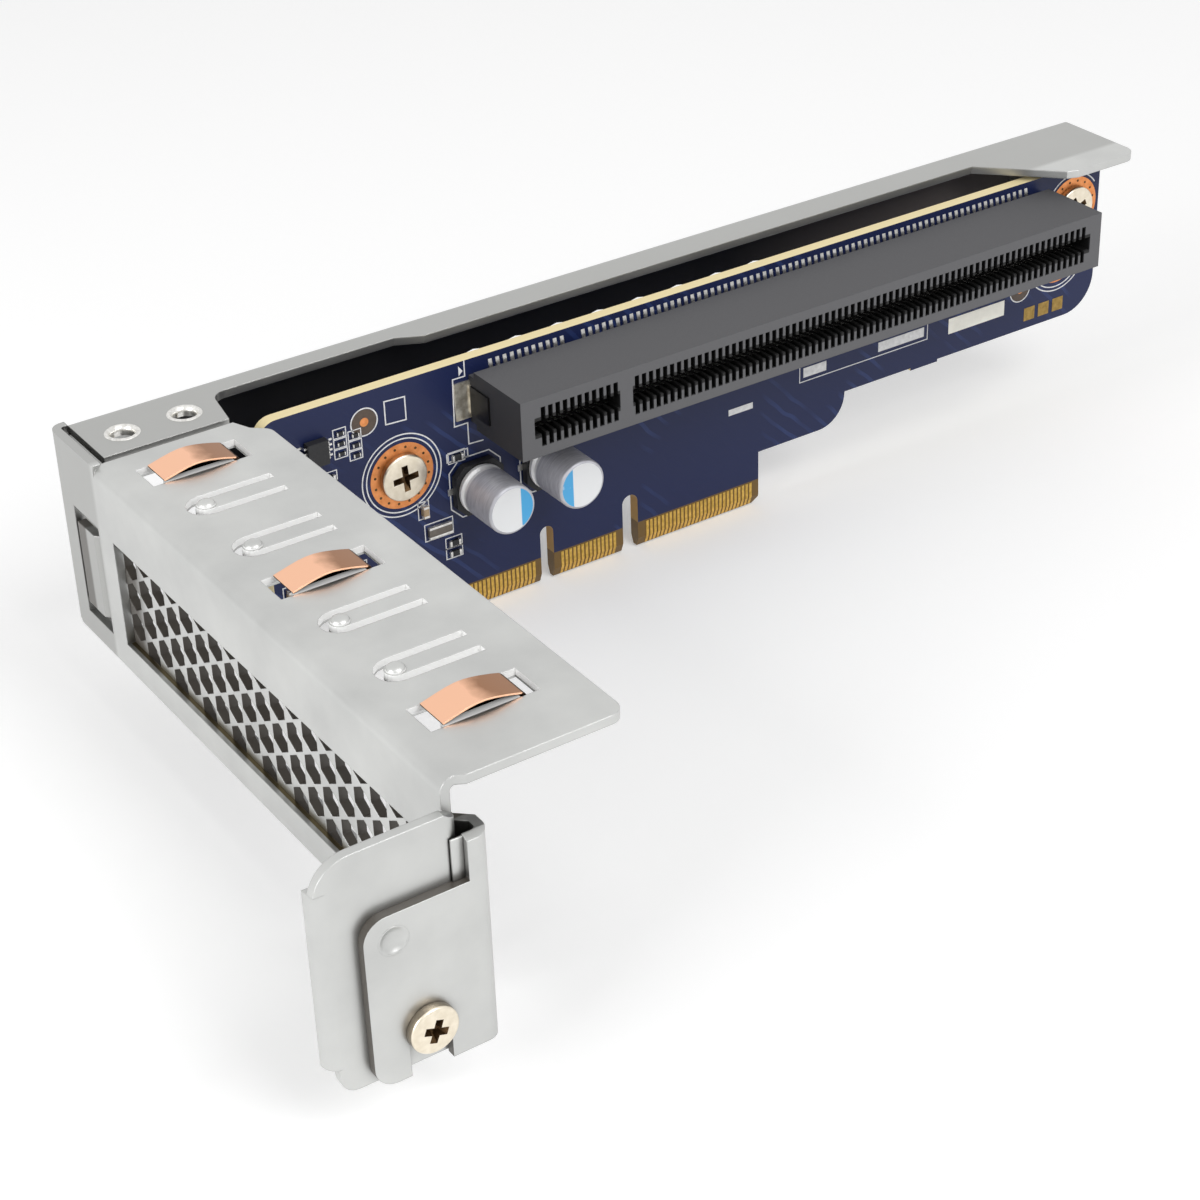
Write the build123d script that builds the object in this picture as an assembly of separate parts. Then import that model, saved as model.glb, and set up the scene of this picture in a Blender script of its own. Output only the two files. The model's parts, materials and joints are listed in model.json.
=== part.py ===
from build123d import *
import os
from math import cos, radians

# Server riser card on its slot bracket frame. All lengths are in millimetres.
# X runs along the card slot, away from the slot bracket. Y points from the board's component face
# to the side wall behind it. Z points up, away from the gold edge.
# The origin is on the board's component face, at the near end of the slot housing, on its centre line.

# Card slot
SLOT_LENGTH = 89.0
SLOT_WIDTH = 7.5
SLOT_HEIGHT = 11.25
SLOT_STANDOFF = 1.2
SLOT_END_WALL = 1.8
SLOT_MOUTH = 1.8
SLOT_DEPTH = 8.25
RIB_DEPTH = 5.5
KEY_CENTRE = 14.5
KEY_WIDTH = 1.8
CONTACT_PITCH = 1.0
FIRST_CONTACT = 3.0
CONTACTS_BEFORE_KEY = 11
AFTER_KEY_CONTACT = 16.0
CONTACTS_AFTER_KEY = int((SLOT_LENGTH - FIRST_CONTACT - AFTER_KEY_CONTACT) / CONTACT_PITCH) + 1
CAVITY_WIDTH = 0.62
CAVITY_REACH = 2.5
CONTACT_WIDTH = 0.5
CONTACT_THICK = 0.2
CONTACT_FOOT_END = 4.2
CONTACT_FOOT_RISE = 0.45
CONTACT_SLIT = 0.8
CONTACT_WALL_PLAY = 0.08
CONTACT_TIP_Z = 0.75
CONTACT_TIP_DEPTH = 1.7
FOOT_LENGTH = 2.0
FOOT_WIDTH = 6.0
HOLD_DOWN_LENGTH = 2.1
HOLD_DOWN_WIDTH = 4.8
HOLD_DOWN_THICK = 0.25
HOLD_DOWN_RISE = 4.5
HOLD_DOWN_NECK = 0.6

# Sheet metal frame
SHEET = 1.0
BEND_INSIDE = 0.5
BEND_OUTSIDE = BEND_INSIDE + SHEET
ROUND_SIDES = 16
FRAME_TOP = 6.64
FLANGE_UNDER = FRAME_TOP - SHEET
FACE_OUT = -47.2
FACE_IN = FACE_OUT + SHEET
WALL_IN = 10.0
WALL_OUT = WALL_IN + SHEET
LIP_TOP = -17.9
LIP_UNDER = LIP_TOP - SHEET

# Arm with the slot face
ARM_END = -72.9
ARM_FACE_END = -72.4
ARM_FLANGE_EDGE = -27.7
ARM_CORNER_RADIUS = 1.6
SEAM_NEAR_ARM = -0.55
SEAM_NEAR_CORNER = 0.55
ARM_SHOULDER = ((ARM_FLANGE_EDGE, -4.4), (-29.5, -2.8), (-30.4, SEAM_NEAR_ARM))
ARM_NOSE = 1.0
MAIN_WINDOW_Y = (-70.5, -3.4)
MAIN_WINDOW_Z = (-14.4, -1.45)
TONGUE_WINDOW_Y = (0.3, 6.7)
TONGUE_WINDOW_Z = (-14.9, -1.3)

# Spring windows and pressed fingers in the arm's flange
SPRING_WINDOW_X = (-43.8, -32.1)
SPRING_WINDOW_WIDTH = 4.4
SPRING_ARCH_X = (-43.2, -33.3)
SPRING_STRIP = 0.2
SPRING_PLAY = 0.18
SPRING_CREST = 1.4
SPRING_RIM_SIDE = 0.8
SPRING_Y = {"front": -63.2, "middle": -34.85, "rear": -6.4}
FINGER_Y = (-54.5, -43.95, -26.0, -15.5)
FINGER_ROUND_X = -43.3
FINGER_ROOT_X = -32.6
FINGER_SLOT_OUT = 4.3
FINGER_SLOT_IN = 2.3
FINGER_BUMP_RADIUS = 0.9
FINGER_BUMP_HEIGHT = 0.5
FINGER_BUMP_SIDES = 8
FINGER_BUMP_TAPER = 40

# Bottom lip, its tabs and its lug
LIP_EDGE = -41.9
LIP_START = -69.3
TAB_OUT = -43.7
TAB_IN = TAB_OUT + SHEET
FIRST_TAB = (LIP_START, -60.5, -19.9)
SECOND_TAB = (-50.4, -42.5, -21.0)
THIRD_TAB = (-11.3, -3.4, -20.4)
LUG_Y = (-61.5, -53.8)
LUG_BOTTOM = -25.7
LUG_CORNER_RADIUS = 2.5
LUG_HOLE = (-57.6, -22.2)
LUG_HOLE_RADIUS = 2.2
LIP_NOTCH = 0.8
LIP_NOTCHES = (
    (LUG_Y[1], SECOND_TAB[0]),
    (SECOND_TAB[1], SECOND_TAB[1] + LIP_NOTCH),
    (THIRD_TAB[0] - LIP_NOTCH, THIRD_TAB[0]),
)

# Shelf at the arm's end
SHELF_LEFT = -61.2
SHELF_FRONT = ARM_END - SHEET
SHELF_BACK = ARM_END
SHELF_Z = (-21.6, 4.1)
SHELF_RETURN_Z = (-18.6, 1.0)
SHELF_RETURN = 0.8
SHELF_ROUND = 4.0
SHELF_LOW_ROUND = 2.0
SHELF_SLOPE = (0.6, 1.2)

# Side wall behind the board
WALL_END = SLOT_LENGTH + 13.0
WALL_BOTTOM = -5.5
WALL_SCREW_BOTTOM = -12.4
WALL_SCREW_X = (-29.4, -1.0)
WALL_GAP_X = (-40.4, -29.4)
WALL_GAP_TOP = -1.65
WALL_SCREW_SLOPE = 3.0
WALL_SCREW_CUT = 1.2
WALL_HOLE_RADIUS = 2.2
WALL_HOLE_START = 6.64
WALL_HOLE_PITCH = 6.02
WALL_HOLE_COUNT = 8
WALL_HOLE_Z = -1.7
WALL_LONE_HOLE = (64.1, -3.0)

# Top flange of the side wall
CORNER_FLANGE_X = (-45.3, -30.3)
NARROW_FLANGE_Y = 7.2
WIDER_FLANGE_Y = 5.6
WIDER_FLANGE_X = -4.0
FAR_TAB_X = (WALL_END - 12.0, WALL_END)
FAR_TAB_Y = -4.0
FAR_TAB_SLOPE = 8.6
FAR_TAB_NIP = (1.5, 0.6)
FLANGE_STEP = 1.6
FLANGE_ROUND = 2.0
CORNER_FLANGE_SLOPE = 1.2
CORNER_HOLES_X = (-41.2, -33.7)
CORNER_HOLES_Y = 4.7
CORNER_HOLE_RADIUS = 1.5

# Vent plate
VENT_IN = FACE_IN
VENT_OUT = VENT_IN + SHEET
VENT_Z = (LIP_TOP + BEND_INSIDE, 1.5)
VENT_END = -0.9
VENT_FOOT_Z = -18.5
VENT_JOG = 1.5
VENT_JOG_Y = (-72.2, -70.8)
VENT_JOG_SHIFT = 0.45
VENT_FOOT_BACK = (0.9, 0.5)
VENT_FOOT_Y = (VENT_JOG_Y[0] - VENT_FOOT_BACK[0], VENT_JOG_Y[0] - VENT_FOOT_BACK[1])
VENT_TAB_DROP = 0.3
HEX_PITCH = 3.87
HEX_FLATS = 3.05
HEX_START_Y = -68.6
HEX_COLUMNS = 20
HEX_ROWS = 4
HEX_TOP_ODD = -2.1
HEX_TOP_EVEN = HEX_TOP_ODD + HEX_PITCH / 2
TONGUE_Z = (-13.5, -3.0)
TONGUE_END = 6.2
TONGUE_BEND = (1.0, 2.0)
TONGUE_BEND_SHIFT = 0.4
TAB_LEFT = -57.2
TAB_Z = (-21.9, -3.1)
TAB_CORNER_RADIUS = 2.4
TAB_FRONT = SHELF_FRONT - SHEET
TAB_DIMPLE = (-54.2, -6.0)
TAB_DIMPLE_RADIUS = 1.5
TAB_DIMPLE_DEPTH = 0.5
TAB_DIMPLE_SIDES = 8

# Screws and standoffs
SCREW_RADIUS = 1.5
SCREW_PLAY = 0.2
THREAD_PLAY = 0.05
BOARD_HEAD = (2.95, 1.0)
TAB_SCREW = (-51.3, -17.0)
TAB_SCREW_NOTCH = 4.4
TAB_HEAD = (2.5, 1.2)
TAB_SCREW_LENGTH = 5.0
BOARD_SCREW_LENGTH = 6.0
STANDOFF_FLATS = 5.5
STANDOFF_BORE_DEPTH = 7.0

# Board
BOARD_THICK = 1.6
BOARD_X = (-27.4, SLOT_LENGTH + 10.3)
BOARD_NEAR_RADIUS = 2.4
BOARD_TOP = 5.0
BOARD_LOW_LEFT = -20.3
BOARD_LOW_STEP = -20.8
BOARD_LOW_RIGHT = -16.45
BOARD_STEP_X = 56.1
BOARD_STEP_RADIUS = 4.2
BOARD_FAR_RADIUS = 5.0
BREAK_NUB = (67.2, 71.8, -16.8)
EDGE_X = (-10.3, 42.1)
EDGE_TIP = -28.2
EDGE_BEVEL_UP = 1.2
EDGE_BEVEL_IN = 0.45
EDGE_CORNER = 0.8
KEY_NOTCHES = ((8.7, 10.6, -20.6), (20.9, 23.2, -20.4))
NEAR_SCREW = (-9.7, -7.1)
FAR_SCREW = (SLOT_LENGTH + 5.6, -0.6)
OPEN_HOLE = (SLOT_LENGTH + 3.4, -7.1)
OPEN_HOLE_RADIUS = 2.1

# Gold fingers on the board's edge
PLATING = 0.05
FINGER_STARTS = (-8.6, 11.8, 24.6)
FINGER_COUNTS = (28, 14, 28)
FINGER_PITCH = 0.6
FINGER_WIDTH = 0.38
FINGER_Z = (-27.0, -24.9)

# Capacitors
CAN_RADIUS = 3.15
CAN_TOP = 8.2
CAN_BASE = 6.6
CAN_BASE_THICK = 1.0
CAN_BASE_CHAMFER = 1.3
CAN_LEAD = (0.8, 2.0, 0.15)
CAN_LEAD_REACH = 3.9
CAN_LEFT = (0.1, -11.4)
CAN_RIGHT = (9.9, -11.3)

# Chips
CHIP_HEIGHT = 1.0
CHIP_STANDOFF = 0.1
LEAD_PITCH = 0.65
LEAD_WIDTH = 0.25
LEAD_THICK = 0.15
LEAD_RISE = 0.55
BUFFER = {"centre": (-21.8, -12.7), "size": (4.4, 5.0), "span": 6.4, "leads": 7}
SWITCH = {"centre": (-20.6, -0.4), "size": (2.6, 3.0), "span": 4.4, "leads": 4}

# Small two-ended parts, each list giving centre X and Z
SMALL_PART = (1.0, 0.5, 0.35)
SMALL_GRID = [(-17.3, 0.9), (-17.3, -0.4), (-17.3, -1.7), (-15.4, 0.1), (-15.4, -1.2), (-15.4, -2.5)]
MIDDLE_PART = (1.6, 0.8, 0.45)
MIDDLE_COLUMN = [(-22.2, -3.7), (-22.2, -5.1), (-22.2, -6.5), (-22.2, -7.9)]
MIDDLE_OTHERS = [(-19.2, -4.3), (-19.2, -5.6), (-19.2, -7.2), (-2.3, -7.0), (-3.4, -18.2), (-3.4, -19.6)]
UPRIGHT_PART = (0.8, 1.6, 0.8)
UPRIGHT_ROW_START = -25.6
UPRIGHT_ROW_PITCH = 1.6
UPRIGHT_ROW_COUNT = 7
UPRIGHT_ROW_Z = -17.6
UPRIGHT_OTHERS = [(-7.2, -12.6)]
SENSE_CENTRE = (-5.3, -15.8)
SENSE_SIZE = (3.2, 1.6, 0.55)


def upright(outline, y_near, y_far):
    """Thickens an outline drawn in X and Z between two values of Y."""
    return extrude(Plane.XZ.offset(-y_near) * outline, amount=y_near - y_far)


def crosswise(outline, x_near, x_far):
    """Thickens an outline drawn in Y and Z between two values of X."""
    return extrude(Plane.YZ.offset(x_near) * outline, amount=x_far - x_near)


def level(outline, z_low, z_high):
    """Thickens an outline drawn in X and Y between two values of Z."""
    return extrude(Plane.XY.offset(z_low) * outline, amount=z_high - z_low)


def polygon(*points):
    """Closes a list of corner points into a flat outline."""
    return make_face(Polyline(*points, close=True))


def span(range_a, range_b):
    """Makes a rectangle from its two ranges."""
    centre = Pos((range_a[0] + range_a[1]) / 2, (range_b[0] + range_b[1]) / 2)
    return centre * Rectangle(range_a[1] - range_a[0], range_b[1] - range_b[0])


def rounded(outline, radius, *corners):
    """Rounds the corners of an outline that lie at the given points."""
    picked = [outline.vertices().sort_by_distance((x, z, 0))[0] for x, z in corners]
    return fillet(picked, radius)


def spot(x, z):
    """Gives the place of a drawing's centre."""
    return Pos(x, z)


def small_round(radius):
    """Draws one of the many small rounds with a fixed number of sides, so that they stay light."""
    return RegularPolygon(radius, ROUND_SIDES)


def box_between(x_range, y_range, z_range):
    """Makes a block from its three ranges."""
    return level(span(x_range, y_range), z_range[0], z_range[1])


def contact_places():
    """Lists the X of every contact in one row of the slot."""
    before = [FIRST_CONTACT + i * CONTACT_PITCH for i in range(CONTACTS_BEFORE_KEY)]
    after = [AFTER_KEY_CONTACT + i * CONTACT_PITCH for i in range(CONTACTS_AFTER_KEY)]
    return before + after


# Folded frame: the arm
def arm_section():
    """Draws the flange, the face and the bottom lip as one bent strip in X and Z."""
    section = polygon(
        (ARM_FLANGE_EDGE, FRAME_TOP),
        (FACE_OUT, FRAME_TOP),
        (FACE_OUT, LIP_UNDER),
        (LIP_EDGE, LIP_UNDER),
        (LIP_EDGE, LIP_TOP),
        (FACE_IN, LIP_TOP),
        (FACE_IN, FLANGE_UNDER),
        (ARM_FLANGE_EDGE, FLANGE_UNDER),
    )
    section = rounded(section, BEND_OUTSIDE, (FACE_OUT, FRAME_TOP), (FACE_OUT, LIP_UNDER))
    return rounded(section, BEND_INSIDE, (FACE_IN, LIP_TOP), (FACE_IN, FLANGE_UNDER))


def arm_plan():
    """Draws the arm seen from above, with the shoulder beside the corner flange."""
    plan = polygon(
        (FACE_OUT, ARM_FACE_END),
        (FACE_OUT + BEND_OUTSIDE, ARM_FACE_END),
        (FACE_OUT + BEND_OUTSIDE + ARM_NOSE, ARM_END),
        (ARM_FLANGE_EDGE, ARM_END),
        *ARM_SHOULDER,
        (FACE_OUT, SEAM_NEAR_ARM),
    )
    return rounded(plan, ARM_CORNER_RADIUS, (ARM_FLANGE_EDGE, ARM_END), ARM_SHOULDER[0])


def finger_slot(y):
    """Draws the U-shaped slot that frees one pressed finger of the flange."""
    half_out = FINGER_SLOT_OUT / 2
    half_in = FINGER_SLOT_IN / 2
    centre_x = FINGER_ROUND_X + half_out
    outer = spot(centre_x, y) * small_round(half_out)
    outer += span((centre_x, FINGER_ROOT_X), (y - half_out, y + half_out))
    inner = spot(centre_x, y) * small_round(half_in)
    inner += span((centre_x, FINGER_ROOT_X), (y - half_in, y + half_in))
    return outer - inner


def finger_bump(y):
    """Makes the small raised contact point at a finger's round end."""
    centre_x = FINGER_ROUND_X + FINGER_SLOT_OUT / 2
    foot = Plane.XY.offset(FRAME_TOP) * spot(centre_x, y)
    outline = foot * RegularPolygon(FINGER_BUMP_RADIUS, FINGER_BUMP_SIDES)
    return extrude(outline, amount=FINGER_BUMP_HEIGHT, taper=FINGER_BUMP_TAPER)


def build_arm():
    """Folds the arm, then punches its windows, fingers and lip."""
    arm = upright(arm_section(), ARM_END, SEAM_NEAR_ARM)
    arm &= level(arm_plan(), LIP_UNDER, FRAME_TOP)
    lower = arm_section() & span((FACE_OUT, LIP_EDGE), (LIP_UNDER, MAIN_WINDOW_Z[0]))
    arm += upright(lower, SEAM_NEAR_ARM, WALL_IN - BEND_INSIDE)
    flange_span = (FLANGE_UNDER - SHEET, FRAME_TOP + SHEET)
    for y in SPRING_Y.values():
        window = span(SPRING_WINDOW_X, (y - SPRING_WINDOW_WIDTH / 2, y + SPRING_WINDOW_WIDTH / 2))
        arm -= level(window, *flange_span)
    for y in FINGER_Y:
        arm -= level(finger_slot(y), *flange_span)
        arm += finger_bump(y)
    lip_span = (FACE_OUT + BEND_OUTSIDE, LIP_EDGE + SHEET)
    lip_height = (LIP_UNDER - SHEET, LIP_TOP)
    for notch in LIP_NOTCHES:
        arm -= box_between(lip_span, notch, lip_height)
    arm -= box_between(lip_span, (ARM_END - SHEET, LIP_START), lip_height)
    return arm


# Folded frame: the turned-down tabs of the lip
def turned_tab(y_near, y_far, bottom):
    """Turns the lip's edge down into a tab between two values of Y."""
    section = polygon(
        (FACE_IN + BEND_INSIDE, LIP_TOP),
        (TAB_IN, LIP_TOP),
        (TAB_IN, bottom),
        (TAB_OUT, bottom),
        (TAB_OUT, LIP_UNDER),
        (FACE_IN + BEND_INSIDE, LIP_UNDER),
    )
    section = rounded(section, BEND_OUTSIDE, (TAB_IN, LIP_TOP))
    return upright(section, y_near, y_far)


def build_lug():
    """Makes the deeper tab with round corners and the fixing hole."""
    lug = turned_tab(*LUG_Y, LUG_BOTTOM)
    front = span(LUG_Y, (LUG_BOTTOM, LIP_TOP))
    front = rounded(front, LUG_CORNER_RADIUS, (LUG_Y[0], LUG_BOTTOM), (LUG_Y[1], LUG_BOTTOM))
    front -= spot(*LUG_HOLE) * Circle(LUG_HOLE_RADIUS)
    return lug & crosswise(front, FACE_IN, TAB_IN)


def build_lip_tabs():
    """Makes the three plain tabs and the lug between them."""
    return [turned_tab(*FIRST_TAB), build_lug(), turned_tab(*SECOND_TAB), turned_tab(*THIRD_TAB)]


# Folded frame: the corner, the side wall and its flange
def build_corner():
    """Bends the face round the vertical corner into the side wall."""
    plan = polygon(
        (FACE_OUT, SEAM_NEAR_ARM),
        (FACE_OUT, WALL_OUT),
        (CORNER_FLANGE_X[0], WALL_OUT),
        (CORNER_FLANGE_X[0], WALL_IN),
        (FACE_IN, WALL_IN),
        (FACE_IN, SEAM_NEAR_ARM),
    )
    plan = rounded(plan, BEND_OUTSIDE, (FACE_OUT, WALL_OUT))
    plan = rounded(plan, BEND_INSIDE, (FACE_IN, WALL_IN))
    return level(plan, LIP_UNDER + BEND_OUTSIDE, FRAME_TOP)


def wall_section():
    """Draws the side wall and its flange as one bent strip in Y and Z."""
    section = polygon(
        (FAR_TAB_Y, FRAME_TOP),
        (WALL_OUT, FRAME_TOP),
        (WALL_OUT, LIP_UNDER),
        (WALL_IN, LIP_UNDER),
        (WALL_IN, FLANGE_UNDER),
        (FAR_TAB_Y, FLANGE_UNDER),
    )
    section = rounded(section, BEND_OUTSIDE, (WALL_OUT, FRAME_TOP))
    return rounded(section, BEND_INSIDE, (WALL_IN, FLANGE_UNDER))


def wall_front():
    """Draws the side wall seen from the front, with its cut-out behind the board."""
    low_left = (WALL_GAP_X[1], WALL_SCREW_BOTTOM)
    return polygon(
        (CORNER_FLANGE_X[0], FRAME_TOP),
        (CORNER_FLANGE_X[0], LIP_UNDER + BEND_OUTSIDE),
        (WALL_GAP_X[0], LIP_UNDER + BEND_OUTSIDE),
        (WALL_GAP_X[0], WALL_GAP_TOP),
        (WALL_GAP_X[1], WALL_GAP_TOP),
        (low_left[0], low_left[1] + WALL_SCREW_CUT),
        (low_left[0] + WALL_SCREW_CUT, low_left[1]),
        (WALL_SCREW_X[1], WALL_SCREW_BOTTOM),
        (WALL_SCREW_X[1] + WALL_SCREW_SLOPE, WALL_BOTTOM),
        (WALL_END, WALL_BOTTOM),
        (WALL_END, FRAME_TOP),
    )


def wall_plan():
    """Draws the side wall's flange seen from above, from the corner to the far tab."""
    corner_edge = CORNER_FLANGE_X[1] + CORNER_FLANGE_SLOPE
    tab_edge = FAR_TAB_X[0] - FAR_TAB_SLOPE
    plan = polygon(
        (CORNER_FLANGE_X[0], WALL_OUT),
        (CORNER_FLANGE_X[0], SEAM_NEAR_CORNER),
        (CORNER_FLANGE_X[1], SEAM_NEAR_CORNER),
        (corner_edge, NARROW_FLANGE_Y),
        (WIDER_FLANGE_X - FLANGE_STEP, NARROW_FLANGE_Y),
        (WIDER_FLANGE_X + FLANGE_STEP, WIDER_FLANGE_Y),
        (tab_edge, WIDER_FLANGE_Y),
        (FAR_TAB_X[0], FAR_TAB_Y + FAR_TAB_NIP[1]),
        (FAR_TAB_X[0] + FAR_TAB_NIP[0], FAR_TAB_Y),
        (FAR_TAB_X[1], FAR_TAB_Y),
        (FAR_TAB_X[1], WALL_OUT),
    )
    return rounded(plan, FLANGE_ROUND, (corner_edge, NARROW_FLANGE_Y), (FAR_TAB_X[1], FAR_TAB_Y))


def build_side_wall():
    """Folds the wall and its flange, then punches the holes."""
    wall = crosswise(wall_section(), CORNER_FLANGE_X[0], WALL_END)
    wall &= upright(wall_front(), FAR_TAB_Y, WALL_OUT)
    wall &= level(wall_plan(), LIP_UNDER, FRAME_TOP)
    row = [(WALL_HOLE_START + i * WALL_HOLE_PITCH, WALL_HOLE_Z) for i in range(WALL_HOLE_COUNT)]
    for place in row + [WALL_LONE_HOLE]:
        hole = spot(*place) * small_round(WALL_HOLE_RADIUS)
        wall -= upright(hole, WALL_IN - SHEET, WALL_OUT + SHEET)
    for x in CORNER_HOLES_X:
        hole = spot(x, CORNER_HOLES_Y) * Circle(CORNER_HOLE_RADIUS)
        wall -= level(hole, FLANGE_UNDER - SHEET, FRAME_TOP + SHEET)
    return wall


# Folded frame: the shelf at the arm's end
def build_shelf():
    """Bends the face outward into the shelf that carries the vent plate's screw tab."""
    plan = polygon(
        (FACE_IN, MAIN_WINDOW_Y[0]),
        (FACE_OUT, MAIN_WINDOW_Y[0]),
        (FACE_OUT, SHELF_BACK),
        (SHELF_LEFT, SHELF_BACK),
        (SHELF_LEFT, SHELF_FRONT),
        (FACE_IN, SHELF_FRONT),
    )
    plan = rounded(plan, BEND_OUTSIDE, (FACE_IN, SHELF_FRONT))
    plan = rounded(plan, BEND_INSIDE, (FACE_OUT, SHELF_BACK))
    front = polygon(
        (SHELF_LEFT, SHELF_Z[1]),
        (FACE_OUT - SHELF_SLOPE[0], SHELF_Z[1]),
        (FACE_IN, SHELF_Z[1] - SHELF_SLOPE[1]),
        (FACE_IN, LIP_UNDER + BEND_OUTSIDE),
        (FACE_OUT - BEND_INSIDE, LIP_UNDER + BEND_OUTSIDE),
        (FACE_OUT - BEND_INSIDE, SHELF_Z[0]),
        (SHELF_LEFT + SHEET, SHELF_Z[0]),
        (SHELF_LEFT + SHEET, SHELF_RETURN_Z[0]),
        (SHELF_LEFT, SHELF_RETURN_Z[0]),
    )
    front = rounded(front, SHELF_ROUND, (SHELF_LEFT, SHELF_Z[1]))
    front = rounded(front, SHELF_LOW_ROUND, (SHELF_LEFT + SHEET, SHELF_Z[0]))
    shelf = level(plan, SHELF_Z[0], SHELF_Z[1])
    shelf &= upright(front, SHELF_FRONT, MAIN_WINDOW_Y[0])
    turn = polygon(
        (SHELF_LEFT, SHELF_BACK + SHELF_RETURN),
        (SHELF_LEFT, SHELF_FRONT),
        (SHELF_LEFT + 2 * SHEET, SHELF_FRONT),
        (SHELF_LEFT + 2 * SHEET, SHELF_BACK),
        (SHELF_LEFT + SHEET, SHELF_BACK),
        (SHELF_LEFT + SHEET, SHELF_BACK + SHELF_RETURN),
    )
    turn = rounded(turn, BEND_OUTSIDE, (SHELF_LEFT, SHELF_FRONT))
    turn_x = (SHELF_LEFT - SHEET, SHELF_LEFT + 2 * SHEET)
    shelf -= box_between(turn_x, (SHELF_FRONT - SHEET, SHELF_BACK + SHEET), SHELF_RETURN_Z)
    shelf += level(turn, SHELF_RETURN_Z[0], SHELF_RETURN_Z[1])
    thread = spot(*TAB_SCREW) * Circle(SCREW_RADIUS + THREAD_PLAY)
    return shelf - upright(thread, SHELF_FRONT - SHEET, SHELF_BACK + SHEET)


def build_bracket():
    """Joins the folds of the one-piece frame and punches the windows of its face."""
    frame = build_arm() + build_corner() + build_side_wall() + build_shelf()
    for tab in build_lip_tabs():
        frame += tab
    face_span = (FACE_OUT - SHEET, FACE_IN + SHEET / 4)
    frame -= crosswise(span(MAIN_WINDOW_Y, MAIN_WINDOW_Z), *face_span)
    return frame - crosswise(span(TONGUE_WINDOW_Y, TONGUE_WINDOW_Z), *face_span)


# Vent plate
def hex_places():
    """Lists the Y and Z of each hole of the honeycomb."""
    places = []
    for column in range(HEX_COLUMNS):
        top = HEX_TOP_ODD if column % 2 == 0 else HEX_TOP_EVEN
        y = HEX_START_Y + column * HEX_PITCH * cos(radians(30))
        places += [(y, top - row * HEX_PITCH) for row in range(HEX_ROWS)]
    return places


def vent_side():
    """Draws the vent plate seen from the side, from its screw tab to its tongue."""
    return polygon(
        (TAB_FRONT, VENT_Z[1] - VENT_TAB_DROP),
        (TAB_FRONT, TAB_Z[0]),
        (SHELF_FRONT, TAB_Z[0]),
        (SHELF_FRONT, VENT_FOOT_Z),
        (VENT_FOOT_Y[0], VENT_FOOT_Z),
        (VENT_FOOT_Y[1], VENT_Z[0]),
        (VENT_END, VENT_Z[0]),
        (VENT_END, TONGUE_Z[0]),
        (TONGUE_END, TONGUE_Z[0]),
        (TONGUE_END, TONGUE_Z[1]),
        (VENT_END, TONGUE_Z[1]),
        (VENT_END, VENT_Z[1]),
        (SHELF_FRONT, VENT_Z[1]),
    )


def vent_front():
    """Draws the vent plate seen from the front, with the tab's open notch."""
    front = polygon(
        (TAB_LEFT, TAB_Z[1]),
        (VENT_IN, TAB_Z[1]),
        (VENT_IN, VENT_Z[1]),
        (VENT_OUT + VENT_JOG, VENT_Z[1]),
        (VENT_OUT + VENT_JOG, TAB_Z[0]),
        (TAB_LEFT, TAB_Z[0]),
    )
    front = rounded(front, TAB_CORNER_RADIUS, (TAB_LEFT, TAB_Z[1]), (TAB_LEFT, TAB_Z[0]))
    notch_half = TAB_SCREW_NOTCH / 2
    notch = spot(*TAB_SCREW) * Circle(notch_half)
    sides = (TAB_SCREW[0] - notch_half, TAB_SCREW[0] + notch_half)
    return front - notch - span(sides, (TAB_Z[0] - SHEET, TAB_SCREW[1]))


def vent_plan():
    """Draws the vent plate from above: screw tab, bend, flat plate and stepped tongue."""
    jog_near, jog_far = VENT_JOG_Y
    plan = polygon(
        (TAB_LEFT, TAB_FRONT),
        (VENT_OUT + VENT_JOG, TAB_FRONT),
        (VENT_OUT + VENT_JOG, jog_near),
        (VENT_OUT, jog_far),
        (VENT_OUT, TONGUE_BEND[0] + TONGUE_BEND_SHIFT),
        (VENT_IN, TONGUE_BEND[1] + TONGUE_BEND_SHIFT),
        (VENT_IN, TONGUE_END),
        (VENT_IN - SHEET, TONGUE_END),
        (VENT_IN - SHEET, TONGUE_BEND[1]),
        (VENT_IN, TONGUE_BEND[0]),
        (VENT_IN, jog_far - VENT_JOG_SHIFT),
        (VENT_IN + VENT_JOG, jog_near - VENT_JOG_SHIFT),
        (VENT_IN + VENT_JOG, SHELF_FRONT),
        (TAB_LEFT, SHELF_FRONT),
    )
    plan = rounded(plan, BEND_OUTSIDE, (VENT_OUT + VENT_JOG, TAB_FRONT))
    return rounded(plan, BEND_INSIDE, (VENT_IN + VENT_JOG, SHELF_FRONT))


def build_vent_plate():
    """Cuts the folded plate to its outlines and punches the honeycomb."""
    plate = level(vent_plan(), TAB_Z[0], VENT_Z[1])
    plate &= crosswise(vent_side(), TAB_LEFT, VENT_OUT + VENT_JOG)
    plate &= upright(vent_front(), TAB_FRONT, TONGUE_END)
    holes = Locations(*[(y, z) for y, z in hex_places()])
    flats = HEX_FLATS / 2
    honeycomb = [place * RegularPolygon(flats, 6, major_radius=False, rotation=30) for place in holes]
    plate -= crosswise(Sketch() + honeycomb, VENT_IN - SHEET, VENT_OUT + SHEET)
    dimple = spot(*TAB_DIMPLE) * RegularPolygon(TAB_DIMPLE_RADIUS, TAB_DIMPLE_SIDES)
    return plate - upright(dimple, TAB_FRONT, TAB_FRONT + TAB_DIMPLE_DEPTH)


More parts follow.
